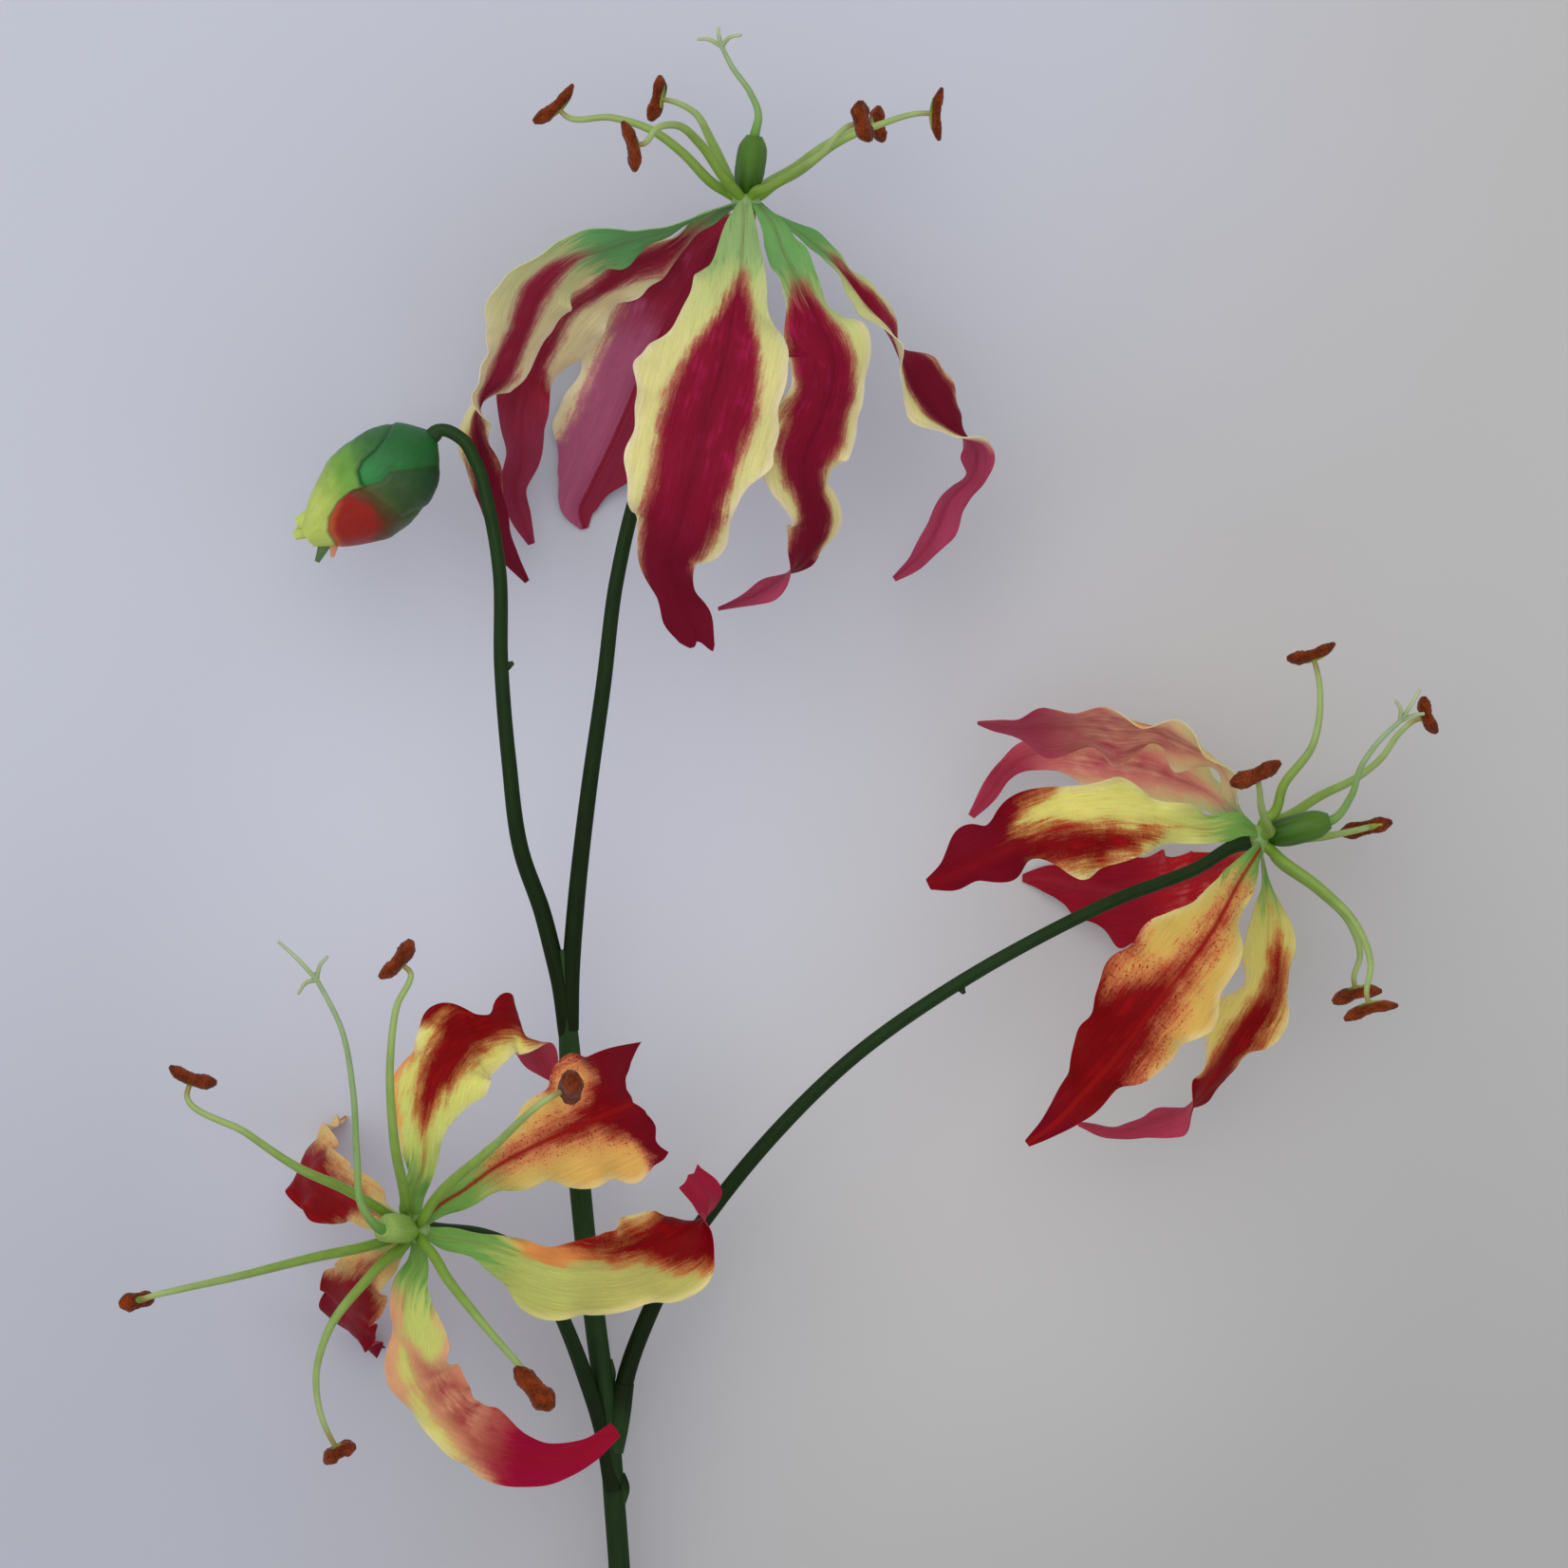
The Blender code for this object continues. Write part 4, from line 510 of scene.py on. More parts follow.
# The petals' paints, in the same order.
PAINTS = {
    "upper": [
        paint([(0, -0.8, -0.8), (0.15, -0.4, -0.2), (0.2, 0, 0.2), (0.3, 0.26, 0.46), (0.4, 0.48, 0.56),
            (0.49, 0.52, 0.64), (0.58, 0.56, 0.62), (0.66, 0.64, 0.68), (0.74, 0.72, 0.7),
            (0.81, 0.88, 0.82), (0.88, 1.4, 1.3), (1, 2, 2)], green=0.17, dark=0.74, glow=1.4),
        paint([(0, -0.8, -0.8), (0.15, -0.3, -0.3), (0.2, 0.3, 0.2), (0.28, 0.85, 0.36), (0.36, 1, 0.42),
            (0.45, 0.85, 0.64), (0.55, 0.6, 0.74), (0.66, 0.48, 0.58), (0.74, 0.66, 0.5), (0.8, 1.2, 1),
            (0.84, 2, 2), (1, 2, 2)], green=0.2, dark=0.62, glow=1.2,
            tones={"front_green": (0.46, 0.66, 0.38), "front_lime": (0.62, 0.74, 0.42)}),
        paint([(0, -0.8, -0.8), (0.12, -0.2, 0), (0.2, 0.3, 0.5), (0.37, 0.4, 0.8), (0.46, 0.5, 1),
            (0.54, 0.5, 1), (0.62, 0.45, 0.8), (0.68, 0.9, 1.2), (0.72, 2, 2), (1, 2, 2)], green=0.18,
            dark=0.4, glow=1.0, tones={"front_green": (0.42, 0.64, 0.34)}),
        # This petal's back mauves are painted lighter than its own colour. This is painted light against the
        # shade on its downward face.
        paint([(0, 1, 1), (0.1, 1.5, 1.4), (0.3, 1.5, 0.74), (0.5, 1.5, 0.68), (0.72, 1.5, 0.72),
            (0.82, 1.5, 0.84), (0.9, 2, 1.6), (1, 2, 2)], green=0.02, dark=0.45, glow=1.6, rib=1.5,
            deep=0.9, ragged=1.4, tones={"back_red": (0.6, 0.14, 0.24), "back_rose": (0.7, 0.3, 0.42),
            "back_dark": (0.7, 0.36, 0.49)}),
        paint([(0, -0.5, -0.5), (0.08, 0.3, 0.3), (0.18, 0.9, 0.9), (0.3, 0.7, 0.7), (0.38, 0.25, 0.3),
            (0.5, 0.12, 0.25), (0.6, 0.3, 0.4), (0.68, 1.3, 1.3), (0.75, 2, 2), (1, 2, 2)], green=0.1,
            dark=0.7, glow=1.0, tones={"back_red": (0.6, 0.14, 0.22), "back_rose": (0.7, 0.26, 0.32),
            "back_dark": (0.58, 0.2, 0.3)}),
        paint([(0, -0.6, -0.6), (0.1, -0.3, -0.3), (0.22, -0.1, -0.1), (0.32, 0.1, 0.4), (0.41, 0.3, 0.45),
            (0.5, 0.4, 0.45), (0.58, 0.6, 0.55), (0.64, 0.5, 0.6), (0.7, 0.3, 0.8), (0.77, 0.6, 1),
            (0.84, 1.3, 1.3), (0.9, 2, 2), (1, 2, 2)], green=0.28, dark=0.6, glow=1.0,
            tones={"back_red": (0.62, 0.14, 0.24), "back_rose": (0.7, 0.28, 0.36),
            "back_dark": (0.5, 0.08, 0.18)}),
    ],
    "right": [
        paint([(0, -0.8, -0.8), (0.28, -0.6, -0.2), (0.33, -0.5, 0.6), (0.4, -0.32, 0.85),
            (0.52, -0.12, 0.8), (0.62, 0.08, 0.85), (0.7, 0.25, 1.2), (0.76, 0.6, 1.7), (0.84, 1.4, 2),
            (1, 2, 2)], rim=[(0, -9, -9), (0.5, -9, -9), (0.6, 1, -9), (0.68, 4, -9), (0.76, 9, -9),
            (1, 9, 9)], green=0.14, dark=0.7, glow=1.8, rib=0.15, tint=0.08, ragged=1.9),
        paint([(0, -0.5, -0.5), (0.1, 0, -0.2), (0.3, 0.5, 0.35), (0.45, 0.8, 0.65), (0.6, 1.1, 1),
            (0.75, 1.6, 1.6), (1, 2, 2)], green=0.08, dark=0.72, glow=4.0, rib=0.3, pale=0.75, tint=0.25,
            ragged=1.5, tones={"back_red": (0.72, 0.24, 0.34), "back_rose": (0.84, 0.44, 0.46),
            "back_glow": (0.94, 0.72, 0.56)}),
        paint([(0, -0.5, -0.5), (0.15, 0, 0), (0.3, 0.35, 0.35), (0.5, 0.6, 0.6), (0.65, 0.9, 0.9),
            (0.75, 1.6, 1.6), (1, 2, 2)], green=0.12, dark=0.7, glow=3.0, rib=0.3, pale=0.8, ragged=1.5),
        paint([(0, 0.6, 0.6), (0.2, 1, 1), (0.3, 1.6, 1.6), (1, 2, 2)], green=0.03, dark=0.5, glow=2.0,
            pale=0.1, tones={"back_red": (0.76, 0.1, 0.15), "back_dark": (0.6, 0.06, 0.15),
            "back_glow": (0.85, 0.3, 0.2)}),
        paint([(0, -0.8, -0.8), (0.18, -0.5, 0), (0.25, -0.25, 0.6), (0.34, 0, 0.75), (0.44, 0.25, 0.62),
            (0.54, 0.5, 0.85), (0.6, 0.8, 1.1), (0.66, 2, 2), (1, 2, 2)], green=0.1, dark=0.7, glow=2.0,
            rib=0.2, tint=0.2, ragged=1.4),
        paint([(0, -0.6, -0.6), (0.25, 0.02, 0.02), (0.38, 0.1, 0.1), (0.44, 0.25, 0.15), (0.5, 0.5, 0.25),
            (0.57, 0.9, 0.4), (0.64, 1.4, 0.65), (0.71, 2, 1.1), (0.77, 2, 2), (1, 2, 2)], rim=[(0, -9, -9),
            (0.3, -9, -9), (0.42, 0, -9), (0.55, 2.4, -9), (0.65, 6, -9), (1, 9, 9)], green=0.1, dark=0.86,
            glow=5.5, rib=1.7, tint=0.22, spots=1.0, ragged=2.0, tones={"front_glow": (0.88, 0.46, 0.3),
            "front_yellow": (0.86, 0.77, 0.38)}),
    ],
    "lower": [
        paint([(0, -0.8, -0.8), (0.2, -0.5, -0.3), (0.27, -0.1, 0.2), (0.34, 0.15, 0.4), (0.44, 0.36, 0.45),
            (0.54, 0.36, 0.55), (0.64, 0.4, 1.2), (0.73, 0.25, 1.5), (0.8, 0.1, 1), (0.86, 1, 2),
            (0.91, 2, 2), (1, 2, 2)], rim=[(0, -9, -9), (0.48, -9, -9), (0.56, -9, 3), (0.8, -9, 4),
            (1, 9, 9)], warm=[(0, -9, -9), (0.2, -9, 0), (0.35, -9, 1.6), (0.5, -9, 0), (0.6, -9, -9),
            (1, -9, -9)], green=0.12, dark=0.86, glow=2.0, rib=0.3, ragged=1.4),
        paint([(0, -0.6, -0.6), (0.3, -0.05, -0.05), (0.42, 0.08, 0.1), (0.6, 0.13, 0.16), (0.75, 0.2, 0.3),
            (0.86, 0.4, 0.6), (0.93, 0.9, 1.4), (1, 1.4, 2)], rim=[(0, -9, -9), (0.5, -9, -9),
            (0.62, -9, -1), (0.8, -9, 1), (0.9, 2, 5), (1, 6, 12)], green=0.27, dark=0.88, glow=5.0,
            rib=1.8, tint=0.3, spots=1.0, ragged=1.5, tones={"front_glow": (0.88, 0.48, 0.33),
            "front_yellow": (0.9, 0.77, 0.38)}),
        # This petal's yellow is darker and greener than the others'. It is partly its own colour and partly
        # painted shade.
        paint([(0, -0.8, -0.8), (0.22, -0.7, 0.1), (0.3, -0.55, 0.8), (0.4, -0.4, 1.5), (0.5, -0.3, 1.1),
            (0.58, -0.15, 0.74), (0.68, 0.1, 0.7), (0.76, 0.6, 1.0), (0.84, 1.5, 2), (1, 2, 2)],
            warm=[(0, -9, -9), (0.2, -9, -2), (0.28, -9, 4), (0.42, -9, 5), (0.55, -9, 2), (0.7, -9, -9),
            (1, -9, -9)], green=0.2, dark=0.86, glow=2.6, rib=0.2, tint=0.08, ragged=1.7,
            tones={"front_yellow": (0.75, 0.76, 0.42), "back_red": (0.66, 0.1, 0.24),
            "back_rose": (0.72, 0.2, 0.3), "back_dark": (0.62, 0.1, 0.22)}),
        paint([(0, -0.8, -0.8), (0.2, -0.6, -0.3), (0.3, -0.4, 0.3), (0.4, -0.25, 0.9), (0.5, 0, 1.4),
            (0.58, 0.3, 2), (0.66, 0.7, 2), (0.74, 1.4, 2), (0.8, 2, 2), (1, 2, 2)], warm=[(0, -9, -9),
            (0.06, -2, -9), (0.14, 3, 0), (0.38, 3, 4), (0.5, -4, 3), (0.6, -9, -9), (1, -9, -9)],
            green=0.1, dark=0.64, glow=3.0, rib=0.1, pale=1.0, ragged=1.6,
            tones={"front_red": (0.68, 0.1, 0.22), "front_rose": (0.8, 0.34, 0.36),
            "front_dark": (0.62, 0.02, 0.2), "front_glow": (0.9, 0.64, 0.48)}),
        paint([(0, -0.6, -0.6), (0.15, 0, 0), (0.3, 0.4, 0.6), (0.42, 0.8, 1.1), (0.52, 1.5, 1.5),
            (1, 2, 2)], green=0.05, dark=0.6, glow=5.0, tint=0.5, spots=0.5, ragged=1.4,
            tones={"front_glow": (0.82, 0.58, 0.38)}),
        paint([(0, -0.6, -0.6), (0.12, 0, 0), (0.25, 0.3, 0.9), (0.4, 0.5, 1.5), (0.55, 1, 1.5),
            (0.65, 0.4, 1.5), (0.8, -0.1, 0.6), (0.9, -0.2, 0.2), (1, 0, 0)], green=0.05, dark=0.9,
            glow=5.0, tint=0.45, spots=0.5, ragged=1.4, tones={"front_glow": (0.82, 0.58, 0.38)}),
    ],
}


def claw_roll(bloom, form, claw):
    """The roll at which a petal's upper face looks along the bloom's axis, where its claw leaves the hub."""
    first = form["knots"][0]
    ahead = unit(seen_at(*first[:3]) - claw)
    flat = across_of(form["facing"], ahead)
    sideways = np.cross(ahead, flat)
    roll = math.degrees(math.atan2(bloom.axis @ sideways, bloom.axis @ flat))
    return first[3] + (roll - first[3] + 180) % 360 - 180


def hash_noise(*place):
    """Smooth noise between -1 and 1 at a place."""
    return noise.noise(place)


def rows_at(rows, share):
    """The right and left values of rows of (share, right, left) at every share."""
    places, right, left = zip(*rows)
    return np.stack([np.interp(share, places, right), np.interp(share, places, left)], 1)


def blade_faces():
    """The faces of a petal: its upper and lower grids, and the rim between them."""
    across = PETAL_COLUMNS + 1
    count = (PETAL_ROWS + 1) * across
    faces = []
    for i in range(PETAL_ROWS):
        for j in range(PETAL_COLUMNS):
            a, b = i * across + j, i * across + j + 1
            c, d = b + across, a + across
            faces += [(a, b, c, d), (a + count, d + count, c + count, b + count)]
    last = PETAL_ROWS * across
    rim = [*range(across), *range(2 * across - 1, last, across)]
    rim += [*range(last + across - 1, last - 1, -1), *range(last - across, 0, -across)]
    for here, there in zip(rim, rim[1:] + rim[:1]):
        faces.append((there, here, here + count, there + count))
    return faces


def petal_piece(name, bloom, form, look, colours, seed):
    """A thin blade on the part's own petal surface, with its colours' places as attributes."""
    claw = bloom.rim(form["around"], HUB_RADIUS - CLAW_SUNK, 0.0)
    knots = [(*claw, claw_roll(bloom, form, claw), CLAW_HALF_WIDTH, CLAW_HALF_WIDTH)]
    knots += [(*seen_at(*knot[:3]), *knot[3:]) for knot in form["knots"]]
    line, ahead = smooth_curve(knots, PETAL_ROWS)
    spine = line[:, :3]
    share = np.linspace(0, 1, PETAL_ROWS + 1)
    run = np.r_[0, np.cumsum(np.linalg.norm(np.diff(spine, axis=0), axis=1))]
    sides = np.linspace(-1, 1, PETAL_COLUMNS + 1)
    sides = np.sign(sides) * np.abs(sides) ** EDGE_CROWD
    points = np.zeros((PETAL_ROWS + 1, PETAL_COLUMNS + 1, 3))
    blade = np.zeros_like(points)
    paint_at = np.zeros_like(points)
    trim = np.zeros_like(points)
    stripe, rim, warm = (rows_at(look[key], share) for key in ("stripe", "rim", "warm"))
    for i, (roll, right, left) in enumerate(line[:, 3:]):
        flat = across_of(form["facing"], ahead[i])
        sideways = np.cross(ahead[i], flat)
        face = math.cos(math.radians(roll)) * flat + math.sin(math.radians(roll)) * sideways
        outward = np.cross(ahead[i], face)
        ramp = min(1.0, share[i] * RUFFLE_RISE) * min(1.0, (1 - share[i]) * RUFFLE_RISE)
        late = max(0.0, (share[i] - FRINGE_START) / (1 - FRINGE_START))
        for j, side in enumerate(sides):
            hand = 1 if side > 0 else -1
            turn = 2 * math.pi * form["waves"] * share[i] + form["phase"]
            turn += 0 if side > 0 else LEFT_EDGE_LAG
            width = (right if side > 0 else left) * (1 + SCALLOP * ramp * math.cos(turn))
            width *= 1 + EDGE_NICK * ramp * hash_noise(run[i] * NICK_RATE, hand * 5.0, seed)
            lift = form["fold"] * abs(side) * width + form["curl"] * side * side * width
            lift += form["ruffle"] * ramp * side * side * math.sin(turn)
            crinkle = hash_noise(run[i] * FINE_RATE, hand * 9.0, seed + 3.3)
            lift += FINE_RUFFLE * ramp * abs(side) ** 3 * crinkle
            lift += SWELL * ramp * hash_noise(run[i] * SWELL_RATE, side * 1.3, seed + 7.7)
            lift -= RIB_DEPTH * math.exp(-(side * width / RIB_WIDTH) ** 2) * min(1.0, width / 4)
            lift += PLEAT_DEPTH * math.cos(side * width * PLEAT_RATE) * (1 - abs(side))
            reach = np.interp(side, FRINGE_SIDES, form["fringe"])
            reach += TIP_JAG * hash_noise(side * width * 0.5, seed, 1.7) * min(1.0, width / 5)
            points[i, j] = spine[i] + outward * side * width + face * lift + ahead[i] * late * late * reach
            across = side * width
            blade[i, j] = (across, run[i], seed)
            edge = (1 - abs(side)) * width
            hem = 0 if side > 0 else 1
            spread = TIP_SPREAD * max(0.0, min(stripe[i]) - 1)
            inner = min(stripe[i][0] * right - across, across + stripe[i][1] * left) + spread
            red = max(inner, rim[i][hem] - edge)
            paint_at[i, j] = (red, look["green"] * run[-1] - run[i], run[i] - look["dark"] * run[-1])
            trim[i, j] = (edge, 0, warm[i][hem] - edge)
    points[:, :, 2] = np.maximum(points[:, :, 2], PETAL_THICKNESS / 2)
    normals = np.cross(np.gradient(points, axis=1), np.gradient(points, axis=0))
    normals /= np.linalg.norm(normals, axis=2, keepdims=True)
    half = (BLADE_THICKNESS / 2 * (1 - 0.5 * np.abs(sides) ** 4))[None, :, None] * normals
    corners = np.concatenate([(points + half).reshape(-1, 3), (points - half).reshape(-1, 3)])
    upper_trim = trim.reshape(-1, 3).copy()
    upper_trim[:, 1] = 1
    attributes = {
        "blade": np.concatenate([blade.reshape(-1, 3)] * 2),
        "paint": np.concatenate([paint_at.reshape(-1, 3)] * 2),
        "trim": np.concatenate([upper_trim, trim.reshape(-1, 3)]),
    }
    return piece(name, corners, blade_faces(), colours, attributes)


def piece(name, corners, faces, material, attributes=None):
    """A smooth-shaded object of this shape, with corners in millimetres."""
    mesh = bpy.data.meshes.new(name)
    mesh.from_pydata((np.asarray(corners) * MM).tolist(), [], faces)
    for key, values in (attributes or {}).items():
        layer = mesh.attributes.new(key, "FLOAT_VECTOR", "POINT")
        layer.data.foreach_set("vector", np.asarray(values, np.float32).ravel())
    mesh.materials.append(material)
    work = bmesh.new()
    work.from_mesh(mesh)
    bmesh.ops.recalc_face_normals(work, faces=work.faces)
    work.to_mesh(mesh)
    work.free()
    mesh.shade_smooth()
    mesh.set_sharp_from_angle(angle=SHARP_EDGE)
    made = bpy.data.objects.new(name, mesh)
    bpy.context.scene.collection.objects.link(made)
    return made


def belongs(made, node):
    """The piece stands for a node and rides with the spray."""
    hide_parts(node)
    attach(made, "root")
    return made


def ring_faces(sides, rings):
    """The faces of a closed tube of rings + 1 rings."""
    faces = [tuple(range(sides - 1, -1, -1)), tuple(range(rings * sides, (rings + 1) * sides))]
    for start in range(0, rings * sides, sides):
        for k in range(sides):
            here, after = start + k, start + (k + 1) % sides
            faces.append((here, after, after + sides, here + sides))
    return faces


def tube(knots, radii, sides, rings, flatten=1.0, depth=None, section=None, bends=0.3):
    """A closed tube's corners, faces, blade attribute and shares. section(angle, share, run) scales it."""
    line, ahead = smooth_curve(knots, rings, bends)
    share = np.linspace(0, 1, rings + 1)
    radius = eased(radii, share)
    run = np.r_[0, np.cumsum(np.linalg.norm(np.diff(line, axis=0), axis=1))]
    start = depth if depth is not None else (UP if abs(ahead[0][2]) < STEEP else SIDEWAYS)
    normal = across_of(start, ahead[0])
    corners, blade = [], []
    for i in range(rings + 1):
        normal = across_of(normal, ahead[i])
        across = np.cross(ahead[i], normal)
        for k in range(sides):
            angle = 2 * math.pi * k / sides
            reach = radius[i] * (section(angle, share[i], run[i]) if section else 1.0)
            way = math.cos(angle) * normal * flatten + math.sin(angle) * across
            corners.append(line[i] + reach * way)
            blade.append((math.sin(angle) * radius[i], run[i], math.cos(angle) * radius[i]))
    shares = np.repeat(share, sides)
    return corners, ring_faces(sides, rings), blade, shares


def tube_piece(name, material, *args, **kwargs):
    """A tube as an object. Its trim attribute holds its share from root to tip."""
    corners, faces, blade, shares = tube(*args, **kwargs)
    trim = np.stack([shares, np.zeros_like(shares), np.zeros_like(shares)], 1)
    return piece(name, corners, faces, material, {"blade": blade, "trim": trim})


def hub_piece(name, bloom, material):
    """The receptacle, with a low swelling under each petal and filament."""
    corners, trim, blade = [], [], []
    for rise, radius in HUB_ROUND:
        for k in range(HUB_SIDES):
            around = 360 * k / HUB_SIDES
            swell = 1 + HUB_LOBES * math.cos(math.radians(around) * 6)
            reach = HUB_RADIUS * radius * swell
            out = reach * bloom.outward(around)
            corners.append(bloom.middle + out + HUB_HALF_HEIGHT * rise * bloom.axis)
            trim.append(((rise + 1) * 0.05, 0.5, 0))
            blade.append((around * 0.05, rise, reach))
    faces = ring_faces(HUB_SIDES, len(HUB_ROUND) - 1)
    return piece(name, corners, faces, material, {"blade": blade, "trim": trim})


def anther_place(stamen):
    """The middle of a stamen's anther, the way along it, and the way from the filament's tip to it."""
    ends = seen_along(stamen[2:4])
    middle = (ends[0] + ends[1]) / 2
    along = unit(ends[1] - ends[0])
    towards = across_of(middle - seen_at(*stamen[1][-1]), along)
    return middle, along, towards, np.linalg.norm(ends[1] - ends[0])


def filament_section(angle, share, run):
    """A filament is a little oval at its root."""
    return 1 + 0.08 * math.cos(2 * angle) * (1 - share)


def filament_piece(name, bloom, stamen, material):
    """A filament, from inside the hub to the back of its anther."""
    middle, _, towards, _ = anther_place(stamen)
    root = bloom.rim(stamen[0], FILAMENT_ROOT, HUB_HALF_HEIGHT * 0.4)
    leaves = bloom.rim(stamen[0], HUB_RADIUS + FILAMENT_EXIT, HUB_HALF_HEIGHT + 0.1)
    tip = middle - towards * (ANTHER_HALF_DEPTH * sum(stamen[4]) / 2 - 0.2)
    knots = [root, leaves, *seen_along(stamen[1]), tip - towards * FILAMENT_HOOK, tip]
    return tube_piece(name, material, knots, FILAMENT_RADII, 14, 60, section=filament_section)


def anther_pieces(name, stamen, pollen, connective, seed):
    """The two pollen sacs side by side, with a groove between them, and the pale bar that joins them."""
    middle, along, towards, length = anther_place(stamen)

    def bowed(shares, sunk):
        return [middle + along * length * share + towards * (ANTHER_BOW * 4 * share * share - sunk)
                for share in shares]

    def section(angle, share, run):
        groove = math.exp(-(angle / 0.4) ** 2) + math.exp(-((angle - 2 * math.pi) / 0.4) ** 2)
        back = math.exp(-((angle - math.pi) / 0.5) ** 2)
        grain = hash_noise(math.cos(angle) * 2.4, math.sin(angle) * 2.4, run * 1.3 + seed * 7)
        fine = hash_noise(math.cos(angle) * 6, math.sin(angle) * 6, run * 3.1 + seed * 7)
        return 1 - 0.2 * groove - 0.12 * back + 0.12 * grain + 0.05 * fine

    girths = np.linspace(*stamen[4], len(ANTHER_PROFILE))
    radii = [ANTHER_HALF_WIDTH * share * girth for share, girth in zip(ANTHER_PROFILE, girths)]
    sacs = tube_piece(name, pollen, bowed((-0.5, -0.25, 0, 0.25, 0.5), 0), radii, 28, 48,
                      flatten=ANTHER_HALF_DEPTH / ANTHER_HALF_WIDTH, depth=towards, section=section)
    inner = bowed((-0.3, -0.1, 0.1, 0.3), ANTHER_HALF_DEPTH * 0.72)
    bar = tube_piece(name + "_connective", connective, inner, (0.25, 0.6, 0.7, 0.6, 0.25), 12, 16,
                     flatten=0.5, depth=towards)
    return sacs, bar


def ovary_section(angle, share, run):
    """Three lobes and their seams."""
    return 1 + 0.09 * math.cos(3 * angle) - 0.03 * abs(math.cos(3 * angle)) ** 12


def ovary_piece(name, base, tip, material):
    """The ovary, with its lobes."""
    knots = [base, base + (tip - base) * 0.33, base + (tip - base) * 0.67, tip]
    radii = [OVARY_RADIUS * share for share in OVARY_PROFILE]
    return tube_piece(name, material, knots, radii, 48, 36, section=ovary_section, bends=0)


def bud_pieces(materials):
    """The closed bud's body, with three tepals over each other, and their free tips."""
    base, tip = seen_at(*BUD_BASE), seen_at(*BUD_TIP)
    axis = unit(tip - base)
    front = across_of(UP, axis)
    side = np.cross(axis, front)
    corners, blade, trim = [], [], []
    for ring in range(BUD_RINGS + 1):
        along = ring / BUD_RINGS
        share = float(eased(BUD_PROFILE, along))
        for k in range(BUD_SIDES):
            angle = 2 * math.pi * k / BUD_SIDES
            way = math.cos(angle) * front + math.sin(angle) * side
            place = likeness_of(base + (tip - base) * along + BUD_RADIUS * share * way)
            lower, upper = inside(LOWER_TEPAL, place), inside(UPPER_TEPAL, place)
            layer = max(LOWER_RISE * np.clip(lower / 0.8, 0, 1), UPPER_RISE * np.clip(upper / 0.8, 0, 1))
            groove = math.exp(-((upper + 0.4) / 0.4) ** 2)
            groove += 0.6 * math.exp(-((lower + 0.4) / 0.4) ** 2)
            ripple = hash_noise(*(place / 18), along * 3)
            ripple += 0.35 * hash_noise(*(place / 5), along * 3)
            swell = (layer - 0.3 * groove + BUD_RIPPLE * ripple) * share
            corners.append(base + (tip - base) * along + (BUD_RADIUS * share + swell) * way)
            blush = np.linalg.norm((place - BLUSH_PLACE) / BLUSH_SIZE)
            blade.append((angle * BUD_RADIUS * 0.5, along * np.linalg.norm(tip - base), blush))
            trim.append((along, upper, lower))
    made = [piece("bud_body", corners, ring_faces(BUD_SIDES, BUD_RINGS), materials["bud"],
                  {"blade": blade, "trim": trim})]
    root = tip + (base - tip) * BUD_TIP_ROOT
    for k, (place, radii) in enumerate(BUD_TIPS):
        def crimp(angle, share, run):
            return 1 + 0.16 * share * hash_noise(math.sin(angle) * 2.2, math.cos(angle), k * 3.1)

        end = seen_at(*place)
        knots = [root, (root + end) / 2, end]
        made.append(tube_piece(f"bud_tip_{k + 1}", materials[BUD_TIP_LOOKS[k]], knots, radii, 32, 30,
                               flatten=0.5, section=crimp))
    return made


def stem_section(angle, share, run):
    """A stem is faintly ribbed and uneven."""
    return 1 + 0.02 * math.cos(5 * angle) + 0.015 * hash_noise(math.cos(angle), angle, run * 0.08)


def stem_pieces(material):
    """The main stem, the pedicels and the scars."""
    tubes = [("main_stem", seen_along(MAIN_STEM), STEM_RADII, 32, 220)]
    for name, places in PEDICELS.items():
        if name in BLOOMS:
            top, axis = BLOOMS[name].middle - BLOOMS[name].axis * HUB_HALF_HEIGHT, BLOOMS[name].axis
        else:
            top, axis = seen_at(*BUD_BASE), unit(seen_at(*BUD_TIP) - seen_at(*BUD_BASE))
        knots = [*seen_along(places), top - axis * PEDICEL_NECK, top + axis * PEDICEL_SUNK]
        radii = (*eased(PEDICEL_RADII, np.linspace(0, 1, 13)), PEDICEL_RADII[-1] * PEDICEL_FLARE)
        tubes.append((f"pedicel_{name}", knots, radii, 24, 140))
    for k, (places, radii) in enumerate(SCARS):
        tubes.append((f"stem_scar_{k + 1}", seen_along(places), radii, 28, 40))
    return [tube_piece(name, material, *shape, section=stem_section) for name, *shape in tubes]


def srgb(red, green, blue):
    """A linear colour from a display one."""
    parts = (red, green, blue)
    return *(c / 12.92 if c <= 0.04045 else ((c + 0.055) / 1.055) ** 2.4 for c in parts), 1.0


